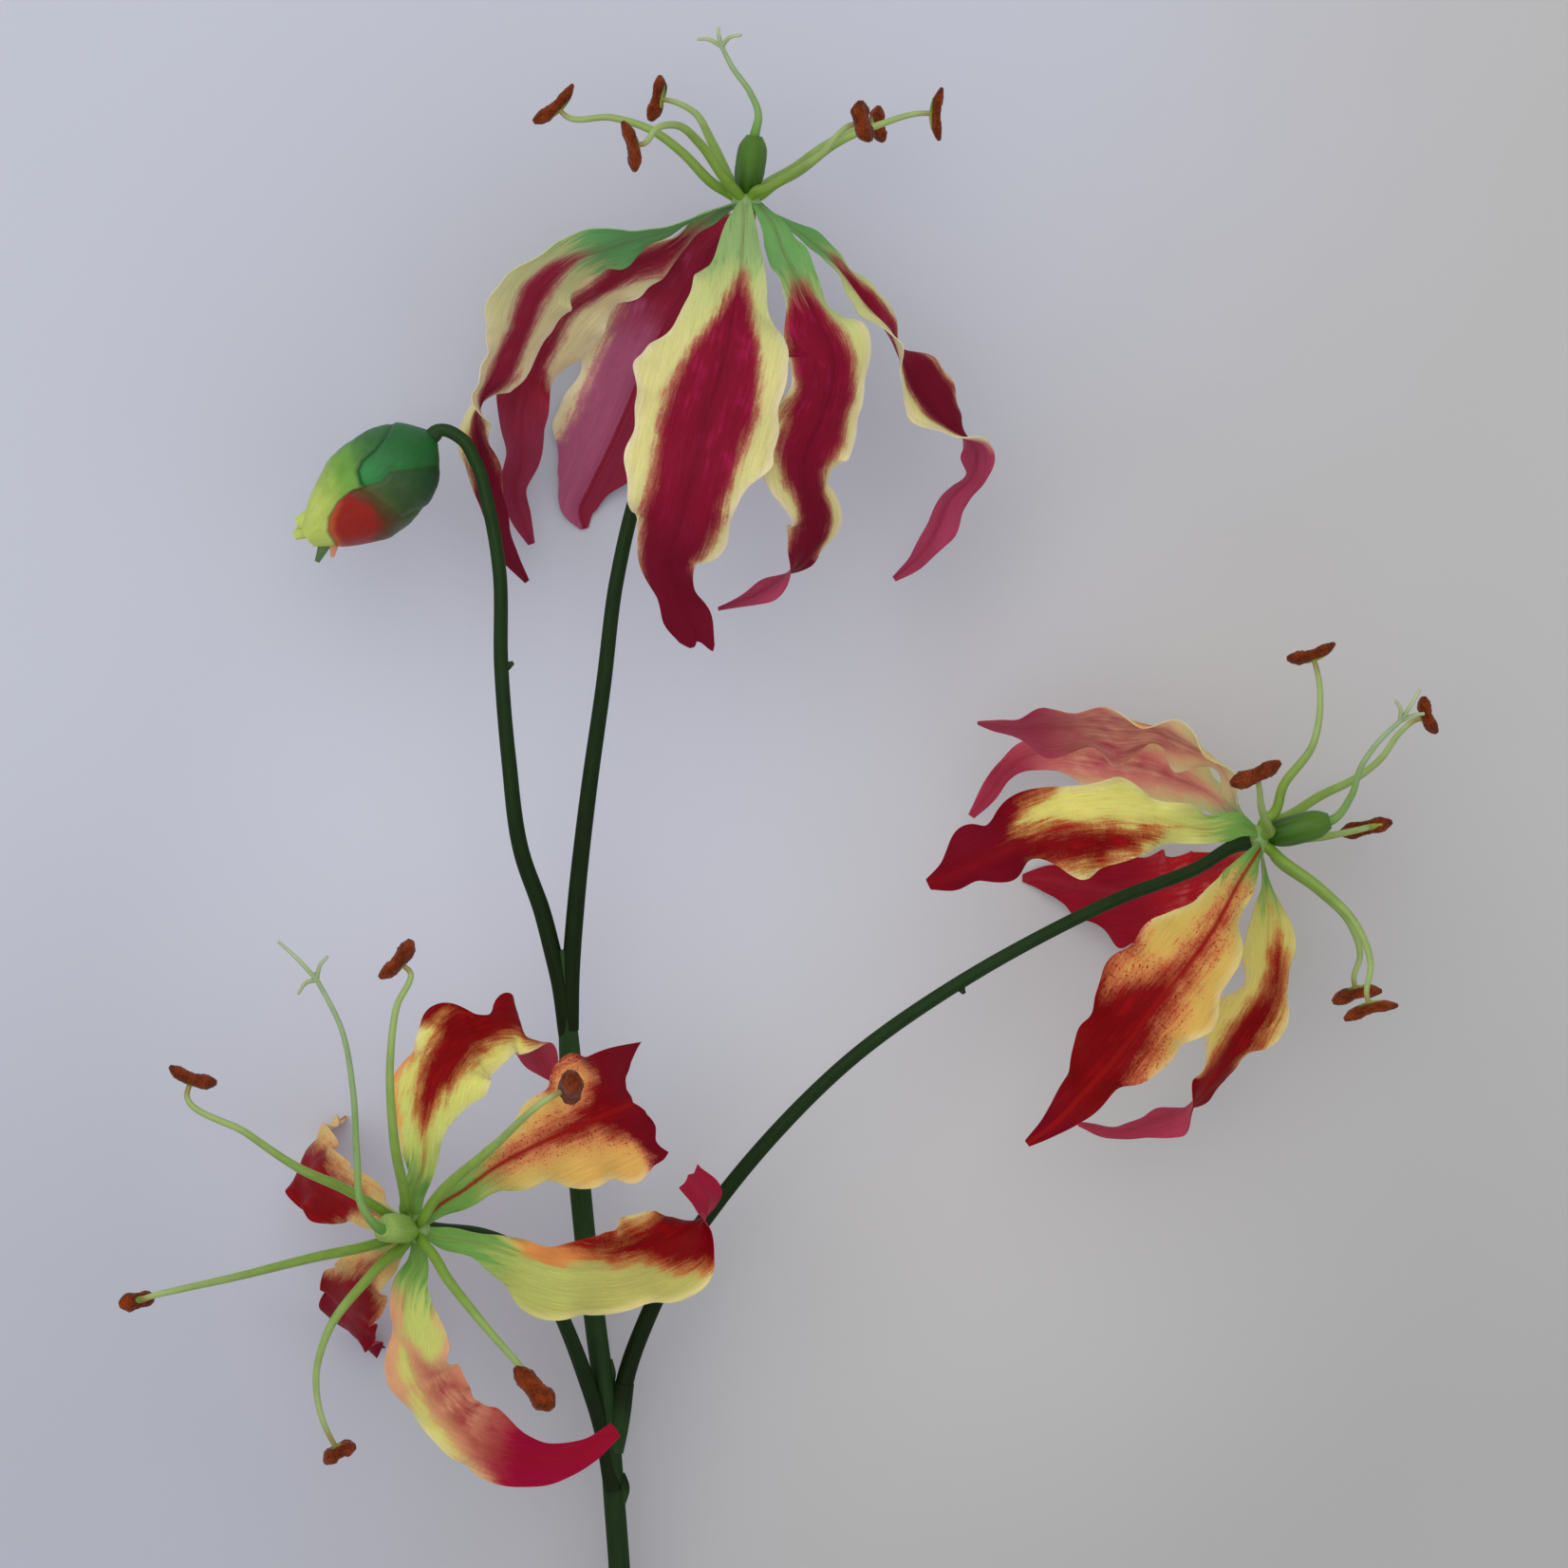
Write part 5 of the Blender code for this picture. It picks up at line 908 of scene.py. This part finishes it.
class Graph:
    """A material's nodes, built from the attributes up."""

    def __init__(self, name, roughness=0.5, sheen=0.0, subsurface=0.0, coat=0.0, shine=0.25):
        self.material = bpy.data.materials.new(name)
        self.material.use_nodes = True
        self.nodes = self.material.node_tree.nodes
        self.links = self.material.node_tree.links
        self.shader = self.nodes["Principled BSDF"]
        values = {"Roughness": roughness, "Specular IOR Level": shine, "Sheen Weight": sheen,
                  "Coat Weight": coat, "Subsurface Weight": subsurface, "Subsurface Radius": (1.0, 0.5, 0.3),
                  "Subsurface Scale": 0.8 * MM}
        for socket, value in values.items():
            self.shader.inputs[socket].default_value = value

    def set(self, socket, value):
        if isinstance(value, bpy.types.NodeSocket):
            self.links.new(value, socket)
        else:
            socket.default_value = value

    def attribute(self, name):
        node = self.nodes.new("ShaderNodeAttribute")
        node.attribute_name = name
        return node.outputs["Vector"]

    def split(self, vector):
        node = self.nodes.new("ShaderNodeSeparateXYZ")
        self.links.new(vector, node.inputs[0])
        return node.outputs[0], node.outputs[1], node.outputs[2]

    def math(self, operation, first, second=0.0):
        node = self.nodes.new("ShaderNodeMath")
        node.operation = operation
        self.set(node.inputs[0], first)
        self.set(node.inputs[1], second)
        return node.outputs[0]

    def sum(self, *terms):
        total = terms[0]
        for term in terms[1:]:
            total = self.math("ADD", total, term)
        return total

    def times(self, first, second):
        return self.math("MULTIPLY", first, second)

    def mixed(self, *parts):
        """The sum of (value, weight) parts."""
        return self.sum(*(self.times(value, weight) for value, weight in parts))

    def stretch(self, vector, scale):
        node = self.nodes.new("ShaderNodeVectorMath")
        node.operation = "MULTIPLY"
        self.links.new(vector, node.inputs[0])
        node.inputs[1].default_value = scale
        return node.outputs[0]

    def noise(self, vector, scale, detail=3.0):
        """Noise about zero, from about -0.5 to 0.5."""
        node = self.nodes.new("ShaderNodeTexNoise")
        self.links.new(self.stretch(vector, scale), node.inputs["Vector"])
        node.inputs["Scale"].default_value = 1.0
        node.inputs["Detail"].default_value = detail
        return self.math("SUBTRACT", node.outputs[0], 0.5)

    def band(self, value, low, high):
        """A smooth step from 0 where value is low to 1 where it is high."""
        node = self.nodes.new("ShaderNodeMapRange")
        node.interpolation_type = "SMOOTHSTEP"
        self.set(node.inputs["Value"], value)
        node.inputs["From Min"].default_value = low
        node.inputs["From Max"].default_value = high
        return node.outputs[0]

    def mix(self, first, second, factor):
        node = self.nodes.new("ShaderNodeMix")
        node.data_type = "RGBA"
        self.set(node.inputs["Factor"], factor)
        self.set(node.inputs[6], first)
        self.set(node.inputs[7], second)
        return node.outputs[2]

    def tint(self, colour, amount):
        """colour times 1 + amount."""
        node = self.nodes.new("ShaderNodeVectorMath")
        node.operation = "SCALE"
        self.links.new(colour, node.inputs[0])
        self.set(node.inputs["Scale"], self.math("ADD", amount, 1.0))
        return node.outputs[0]

    def bump(self, height, strength, distance):
        node = self.nodes.new("ShaderNodeBump")
        node.inputs["Strength"].default_value = strength
        node.inputs["Distance"].default_value = distance * MM
        self.links.new(height, node.inputs["Height"])
        self.links.new(node.outputs[0], self.shader.inputs["Normal"])

    def colour(self, value):
        self.set(self.shader.inputs["Base Color"], value)

    def roughness(self, value):
        self.set(self.shader.inputs["Roughness"], value)


def petal_material(name, tones, look):
    """A petal's two faces: green base, red stripe with feathered edges, yellow margins, cream rim."""
    g = Graph(name, subsurface=0.3, shine=0.08)
    blade = g.attribute("blade")
    across = g.split(blade)[0]
    stripe, green_by, dark_by = g.split(g.attribute("paint"))
    edge, face, warm_by = g.split(g.attribute("trim"))
    streak = g.noise(blade, (1.3, 0.12, 1.0), 4.0)
    feather = g.noise(blade, (3.2, 0.30, 2.0), 4.0)
    blotch = g.noise(blade, (0.3, 0.2, 2.0), 3.0)
    speck = g.noise(blade, (2.6, 1.7, 3.0), 2.0)
    vein = g.noise(blade, (3.6, 0.10, 5.0), 2.0)
    wander = g.times(g.mixed((streak, 3.0), (feather, 1.9), (blotch, 2.4), (speck, 1.4)), look["ragged"])
    reach = g.sum(stripe, wander)
    crisp = g.band(reach, -2.2 * look["ragged"], 1.7 * look["ragged"])
    soft = g.band(reach, -2.0, 2.0)
    in_glow = g.band(reach, -look["glow"] - 0.4, 0.4)
    in_warm = g.band(g.sum(warm_by, wander), -1.5, 1.5)
    in_green = g.band(g.sum(green_by, g.times(streak, 20.0), g.times(feather, 10.0)), -7.0, 4.0)
    in_vein = g.times(g.band(g.sum(streak, vein), 0.0, 0.35), 0.6)
    in_lime = g.band(g.sum(green_by, g.times(streak, 20.0)), -30.0, 2.0)
    in_dark = g.band(g.sum(dark_by, g.times(blotch, 10.0), g.times(streak, 8.0)), -8.0, 9.0)
    in_rim = g.band(g.sum(edge, speck, feather), 2.2, 0.2)
    rib_by = g.math("ABSOLUTE", across)
    near_rib = g.band(g.sum(rib_by, g.times(speck, 0.4)), 0.75, 0.12)
    rib_shade = g.band(rib_by, 3.5, 0.2)
    washed = g.band(g.mixed((streak, 0.6), (feather, 0.3), (blotch, 1.2)), -0.55, 0.5)
    washed = g.times(washed, g.math("SUBTRACT", 1.0, in_dark))
    spots = g.times(g.band(speck, 0.08, 0.2), g.band(reach, -6.0, -0.5))
    deeper = g.times(g.band(across, -0.6, 0.8), look["deep"])
    rose = g.times(g.band(g.sum(blotch, g.times(streak, 0.7)), 0.0, 0.32), 0.55)

    def painted(side, in_red):
        margin = g.mix(tones[side + "yellow"], tones[side + "cream"], in_rim)
        margin = g.mix(margin, tones[side + "lime"], g.times(in_lime, 0.8))
        margin = g.mix(margin, tones[side + "glow"], look["tint"])
        margin = g.mix(margin, tones[side + "glow"], g.times(in_glow, look["warmth"]))
        margin = g.mix(margin, tones[side + "glow"], g.times(in_warm, 0.9))
        margin = g.mix(margin, tones[side + "red"], g.times(spots, look["spots"]))
        leaf = g.mix(tones[side + "green"], tones["deep_green"], in_vein)
        margin = g.mix(margin, leaf, in_green)
        red = g.mix(tones[side + "red"], tones[side + "rose"], rose)
        red = g.mix(red, tones[side + "dark"], in_dark)
        red = g.mix(red, tones[side + "rib"], g.math("MAXIMUM", g.times(rib_shade, 0.3), deeper))
        red = g.mix(red, tones[side + "glow"], g.times(washed, look["pale"]))
        shown = g.times(in_red, g.math("SUBTRACT", 1.0, g.times(in_green, 0.9)))
        red = g.mix(red, tones[side + "rib"], g.times(near_rib, 0.8 * look["rib"]))
        margin = g.mix(margin, tones[side + "rib"], g.times(near_rib, 0.5 * look["rib"]))
        return g.mix(margin, red, shown)

    both = g.mix(painted("back_", soft), painted("front_", crisp), face)
    g.colour(g.tint(both, g.mixed((streak, 0.35), (speck, 0.15), (feather, 0.3), (vein, 0.2))))
    g.roughness(g.sum(0.55, g.times(blotch, 0.3)))
    g.bump(g.sum(vein, g.times(feather, 0.6)), 0.45, 0.3)
    return g.material


def tones(front, back):
    """One palette from the two faces' display colours."""
    return {"deep_green": srgb(0.30, 0.50, 0.24),
            **{"front_" + key: srgb(*value) for key, value in front.items()},
            **{"back_" + key: srgb(*value) for key, value in back.items()}}


# The backs' red is painted lighter than the petals' own colour. This is painted light that offsets the shade
# on the downward faces.
ROSE = tones(
    {"red": (0.53, 0.05, 0.17), "rose": (0.69, 0.12, 0.33), "dark": (0.44, 0.04, 0.14),
     "glow": (0.8, 0.46, 0.36), "yellow": (0.87, 0.84, 0.56), "cream": (0.9, 0.84, 0.66),
     "lime": (0.7, 0.78, 0.47), "green": (0.6, 0.72, 0.46), "rib": (0.42, 0.02, 0.12)},
    {"red": (0.74, 0.34, 0.44), "rose": (0.78, 0.46, 0.58), "dark": (0.68, 0.26, 0.38),
     "glow": (0.86, 0.62, 0.56), "yellow": (0.92, 0.87, 0.66), "cream": (0.93, 0.87, 0.72),
     "lime": (0.74, 0.82, 0.52), "green": (0.42, 0.66, 0.4), "rib": (0.56, 0.12, 0.22)},
)
FLAME = tones(
    {"red": (0.49, 0.0, 0.02), "rose": (0.66, 0.05, 0.05), "dark": (0.46, 0.0, 0.1),
     "glow": (0.92, 0.56, 0.3), "yellow": (0.9, 0.88, 0.48), "cream": (0.9, 0.86, 0.58),
     "lime": (0.72, 0.8, 0.42), "green": (0.48, 0.66, 0.32), "rib": (0.58, 0.05, 0.05)},
    {"red": (0.8, 0.34, 0.4), "rose": (0.86, 0.5, 0.5), "dark": (0.7, 0.24, 0.34),
     "glow": (0.92, 0.68, 0.54), "yellow": (0.9, 0.84, 0.56), "cream": (0.92, 0.86, 0.68),
     "lime": (0.72, 0.8, 0.52), "green": (0.56, 0.66, 0.48), "rib": (0.62, 0.16, 0.22)},
)


def along_material(name, stops, roughness, grain=0.2, rate=(1.6, 0.25, 1.6), coat=0.0, shine=0.3):
    """A tube's colour from root to tip, through (share, display colour) stops, with a long grain."""
    g = Graph(name, roughness=roughness, subsurface=0.05, coat=coat, shine=shine)
    blade = g.attribute("blade")
    share = g.split(g.attribute("trim"))[0]
    fibre = g.noise(blade, rate, 4.0)
    mottle = g.noise(blade, (0.35, 0.2, 0.35), 3.0)
    value = srgb(*stops[0][1])
    for (before, _), (after, shade) in zip(stops, stops[1:]):
        value = g.mix(value, srgb(*shade), g.band(g.sum(share, g.times(mottle, 0.12)), before, after))
    g.colour(g.tint(value, g.mixed((fibre, grain * 2), (mottle, grain * 1.6))))
    g.roughness(g.sum(roughness, g.times(mottle, 0.3)))
    g.bump(fibre, 0.2, 0.3)
    return g.material


def bud_material(name):
    """The bud's satin greens, lime to the left tepal's end, with painted shadow along the upper tepal's
    edge, a darker band along the lower tepal's edge and a rust-red blush.
    """
    g = Graph(name, roughness=0.45, subsurface=0.06, shine=0.3)
    blade = g.attribute("blade")
    along, upper, lower = g.split(g.attribute("trim"))
    blush = g.split(blade)[2]
    fibre = g.noise(g.stretch(blade, (1, 1, 0)), (1.4, 0.25, 1.0), 4.0)
    mottle = g.noise(g.stretch(blade, (1, 1, 0)), (0.3, 0.2, 1.0), 3.0)
    here = g.sum(along, g.times(mottle, 0.25))
    left = g.mix(srgb(0.18, 0.40, 0.18), srgb(0.42, 0.62, 0.22), g.band(here, 0.3, 0.55))
    left = g.mix(left, srgb(0.74, 0.80, 0.38), g.band(here, 0.5, 0.85))
    right = g.mix(srgb(0.14, 0.40, 0.18), srgb(0.17, 0.53, 0.25), g.band(here, 0.15, 0.6))
    under = g.mix(srgb(0.13, 0.30, 0.15), srgb(0.27, 0.35, 0.15), g.band(here, 0.1, 0.6))
    flush = g.mix(srgb(0.36, 0.18, 0.04), srgb(0.60, 0.10, 0.04), g.band(g.sum(blush, mottle), 1.1, 0.6))
    rusty = g.times(g.band(lower, 2.2, 0.6), g.band(here, 0.62, 0.8))
    flush = g.mix(flush, srgb(0.72, 0.32, 0.14), rusty)
    under = g.mix(under, flush, g.band(g.sum(blush, g.times(mottle, 0.7), g.times(fibre, 0.3)), 1.6, 0.9))
    value = g.mix(left, right, g.band(upper, -0.1, 0.25))
    value = g.mix(value, under, g.band(lower, -0.1, 0.3))
    # Painted shadow: a dark strip along the upper tepal's edge, where it overhangs the tepal beneath.
    painted_seam_shadow = g.times(g.band(upper, -1.0, -0.1), g.band(lower, 0.2, -0.5))
    painted_seam_shadow = g.times(painted_seam_shadow, g.band(upper, 0.7, 0.0))
    value = g.mix(value, srgb(0.05, 0.27, 0.07), g.times(painted_seam_shadow, 0.85))
    rim = g.times(g.band(lower, -0.5, 0.0), g.band(lower, 0.5, 0.1))
    value = g.mix(value, srgb(0.12, 0.22, 0.06), g.times(rim, 0.5))
    g.colour(g.tint(value, g.mixed((fibre, 0.3), (mottle, 0.3))))
    g.roughness(g.sum(0.45, g.times(mottle, 0.25)))
    g.bump(fibre, 0.25, 0.3)
    return g.material


def pollen_material(name):
    """Velvety rust-brown pollen."""
    g = Graph(name, roughness=0.85, sheen=0.15, shine=0.1)
    blade = g.attribute("blade")
    grain = g.noise(blade, (2.6, 2.6, 2.6), 5.0)
    patch = g.noise(blade, (0.5, 0.4, 0.5), 2.0)
    value = g.mix(srgb(0.33, 0.11, 0.0), srgb(0.56, 0.23, 0.05), g.band(g.sum(grain, patch), -0.25, 0.35))
    g.colour(value)
    g.bump(grain, 0.6, 0.5)
    return g.material


def floor_material():
    """A pale paper backdrop, lavender grey, warmer to the lower right, with painted shade towards the bottom
    and a painted pool of light in the middle.
    """
    g = Graph("backdrop_paper", roughness=0.9, shine=0.0)
    where = g.nodes.new("ShaderNodeTexCoord").outputs["Object"]
    across, up, _ = g.split(where)
    warm = g.band(g.sum(across, g.times(up, -0.5)), -0.16, 0.14)
    # A painted pool of light: the middle of the floor is brightened where the spray's shadow falls.
    painted_light_pool = g.band(g.sum(g.times(across, across), g.times(up, up)), 0.025, 0.0)
    mottle = g.noise(where, (9.0, 9.0, 9.0), 3.0)
    value = g.mix(srgb(*FLOOR_COOL), srgb(*FLOOR_WARM), g.band(g.sum(warm, g.times(mottle, 0.5)), 0.1, 0.9))
    # Painted shade: the floor is darkened towards the bottom of the view.
    shade = g.times(g.band(up, 0.08, -0.11), -0.15)
    g.colour(g.tint(value, g.sum(shade, g.times(painted_light_pool, 0.17), g.times(mottle, 0.05))))
    return g.material


# The tubes' looks: the material's name, its (share, display colour) stops from root to tip, its
# roughness, and what else it has of its own.
TUBE_LOOKS = {
    "stem": ("stem_green", [(0, (0.07, 0.13, 0.015)), (1, (0.155, 0.26, 0.12))], 0.5,
             {"grain": 0.35, "rate": (1.8, 0.06, 1.8), "shine": 0.12}),
    "filament": ("filament_green", [(0, (0.47, 0.62, 0.20)), (0.35, (0.50, 0.62, 0.24)),
                                    (0.9, (0.62, 0.70, 0.42)), (1, (0.58, 0.52, 0.28))],
                 0.4, {"coat": 0.1}),
    "hub": ("hub_green", [(0, (0.55, 0.66, 0.40)), (1, (0.55, 0.66, 0.40))], 0.5, {}),
    "connective": ("connective_green", [(0, (0.30, 0.50, 0.14)), (1, (0.62, 0.62, 0.24))], 0.5, {}),
    "ovary": ("ovary_green", [(0, (0.20, 0.36, 0.04)), (1, (0.30, 0.46, 0.10))], 0.4, {}),
    "pale_ovary": ("ovary_lime", [(0, (0.48, 0.62, 0.24)), (1, (0.58, 0.70, 0.34))], 0.4, {}),
    "style": ("style_green", [(0, (0.35, 0.56, 0.20)), (0.3, (0.50, 0.64, 0.34)), (1, (0.60, 0.68, 0.50))],
              0.4, {}),
    "stigma": ("stigma_pale", [(0, (0.62, 0.70, 0.48)), (1, (0.70, 0.74, 0.58))], 0.5, {}),
    "bud_tip": ("bud_lime", [(0, (0.50, 0.66, 0.26)), (1, (0.74, 0.80, 0.40))], 0.45, {}),
    "bud_tip_green": ("bud_moss", [(0, (0.50, 0.60, 0.26)), (1, (0.30, 0.44, 0.24))], 0.45, {}),
    "bud_tip_rust": ("bud_rust", [(0, (0.66, 0.40, 0.22)), (1, (0.82, 0.56, 0.42))], 0.45, {}),
}


def material_set():
    """Every material that the pieces share."""
    made = {key: along_material(name, stops, roughness, **own)
            for key, (name, stops, roughness, own) in TUBE_LOOKS.items()}
    return {**made, "bud": bud_material("bud_green"), "pollen": pollen_material("pollen_rust")}


def make_bloom(name, materials, seed):
    """A bloom's petals, hub, stamens and pistil."""
    bloom = BLOOMS[name]
    node = f"{name}_bloom_"
    palette = ROSE if name == "upper" else FLAME
    for k, (form, look) in enumerate(zip(PETALS[name], PAINTS[name])):
        own = {**palette, **{key: srgb(*value) for key, value in look["tones"].items()}}
        colours = petal_material(f"{name}_petal_{k + 1}_paint", own, look)
        made = petal_piece(f"{name}_petal_{k + 1}_blade", bloom, form, look, colours, seed + k * 1.7)
        belongs(made, f"{node}petal_{k + 1}")
    belongs(hub_piece(f"{name}_hub", bloom, materials["hub"]), node + "filaments")
    for k, stamen in enumerate(STAMENS[name]):
        made = filament_piece(f"{name}_filament_{k + 1}", bloom, stamen, materials["filament"])
        belongs(made, node + "filaments")
        for made in anther_pieces(f"{name}_anther_{k + 1}_pollen", stamen, materials["pollen"],
                                  materials["connective"], seed + k):
            belongs(made, f"{node}anther_{k + 1}")
    tip, style, stigmas = PISTILS[name]
    tip, style = seen_at(*tip), seen_along(style)
    base = bloom.middle + bloom.axis * (HUB_HALF_HEIGHT - OVARY_SUNK)
    sunk = tip + (base - tip) * STYLE_SUNK
    pistil = [
        ovary_piece(f"{name}_ovary", base, tip, materials["pale_ovary" if name == "lower" else "ovary"]),
        tube_piece(f"{name}_style", materials["style"], [sunk, tip, *style], STYLE_RADII, 14, 70),
    ]
    root = style[-1] + (style[-2] - style[-1]) * STIGMA_SUNK
    for k, end in enumerate(seen_along(stigmas)):
        bow = (root + end) / 2 + unit(style[-1] - style[-2]) * STIGMA_BOW
        pistil.append(tube_piece(f"{name}_stigma_{k + 1}", materials["stigma"], [root, bow, end],
                                 STIGMA_RADII, 10, 16))
    for made in pistil:
        belongs(made, node + "pistil")


def area_light(name, place, aim, size, power, colour):
    """A disk light at place that shines at aim."""
    light = bpy.data.lights.new(name, "AREA")
    light.shape = "DISK"
    light.size = size
    light.energy = power
    light.color = colour
    made = bpy.data.objects.new(name, light)
    made.location = place
    made.rotation_euler = (Vector(aim) - Vector(place)).to_track_quat("-Z", "Y").to_euler()
    bpy.context.scene.collection.objects.link(made)


def make_stage():
    """The floor, the sky, the lights and the camera."""
    signs = ((-1, -1), (1, -1), (1, 1), (-1, 1))
    corners = [(x * FLOOR_HALF, y * FLOOR_HALF, -FLOOR_DROP) for x, y in signs]
    floor = piece("backdrop", corners, [(0, 1, 2, 3)], floor_material())
    world = bpy.data.worlds.new("soft_sky")
    world.use_nodes = True
    sky = world.node_tree.nodes["Background"].inputs
    sky["Color"].default_value = srgb(*WORLD_COLOUR)
    sky["Strength"].default_value = WORLD_STRENGTH
    bpy.context.scene.world = world
    area_light("key", **KEY_LIGHT)
    area_light("fill", **FILL_LIGHT)
    camera = bpy.data.cameras.new("camera")
    camera.sensor_width = SENSOR
    camera.lens = SENSOR * (EYE_HEIGHT - REF_HEIGHT) / (LIKENESS_SIDE * MM_PER_UNIT)
    camera.clip_start = 0.01
    camera.clip_end = 20
    eye = bpy.data.objects.new("camera", camera)
    eye.location = (EYE_X * MM, EYE_Y * MM, EYE_HEIGHT * MM)
    bpy.context.scene.collection.objects.link(eye)
    bpy.context.scene.camera = eye
    bpy.context.scene.view_settings.view_transform = "Standard"


def make():
    """Everything that the scene adds to the part."""
    materials = material_set()
    for made in stem_pieces(materials["stem"]):
        belongs(made, "stem")
    for made in bud_pieces(materials):
        belongs(made, "bud")
    for k, name in enumerate(BLOOMS):
        make_bloom(name, materials, 11.3 * (k + 1))
    make_stage()


make()
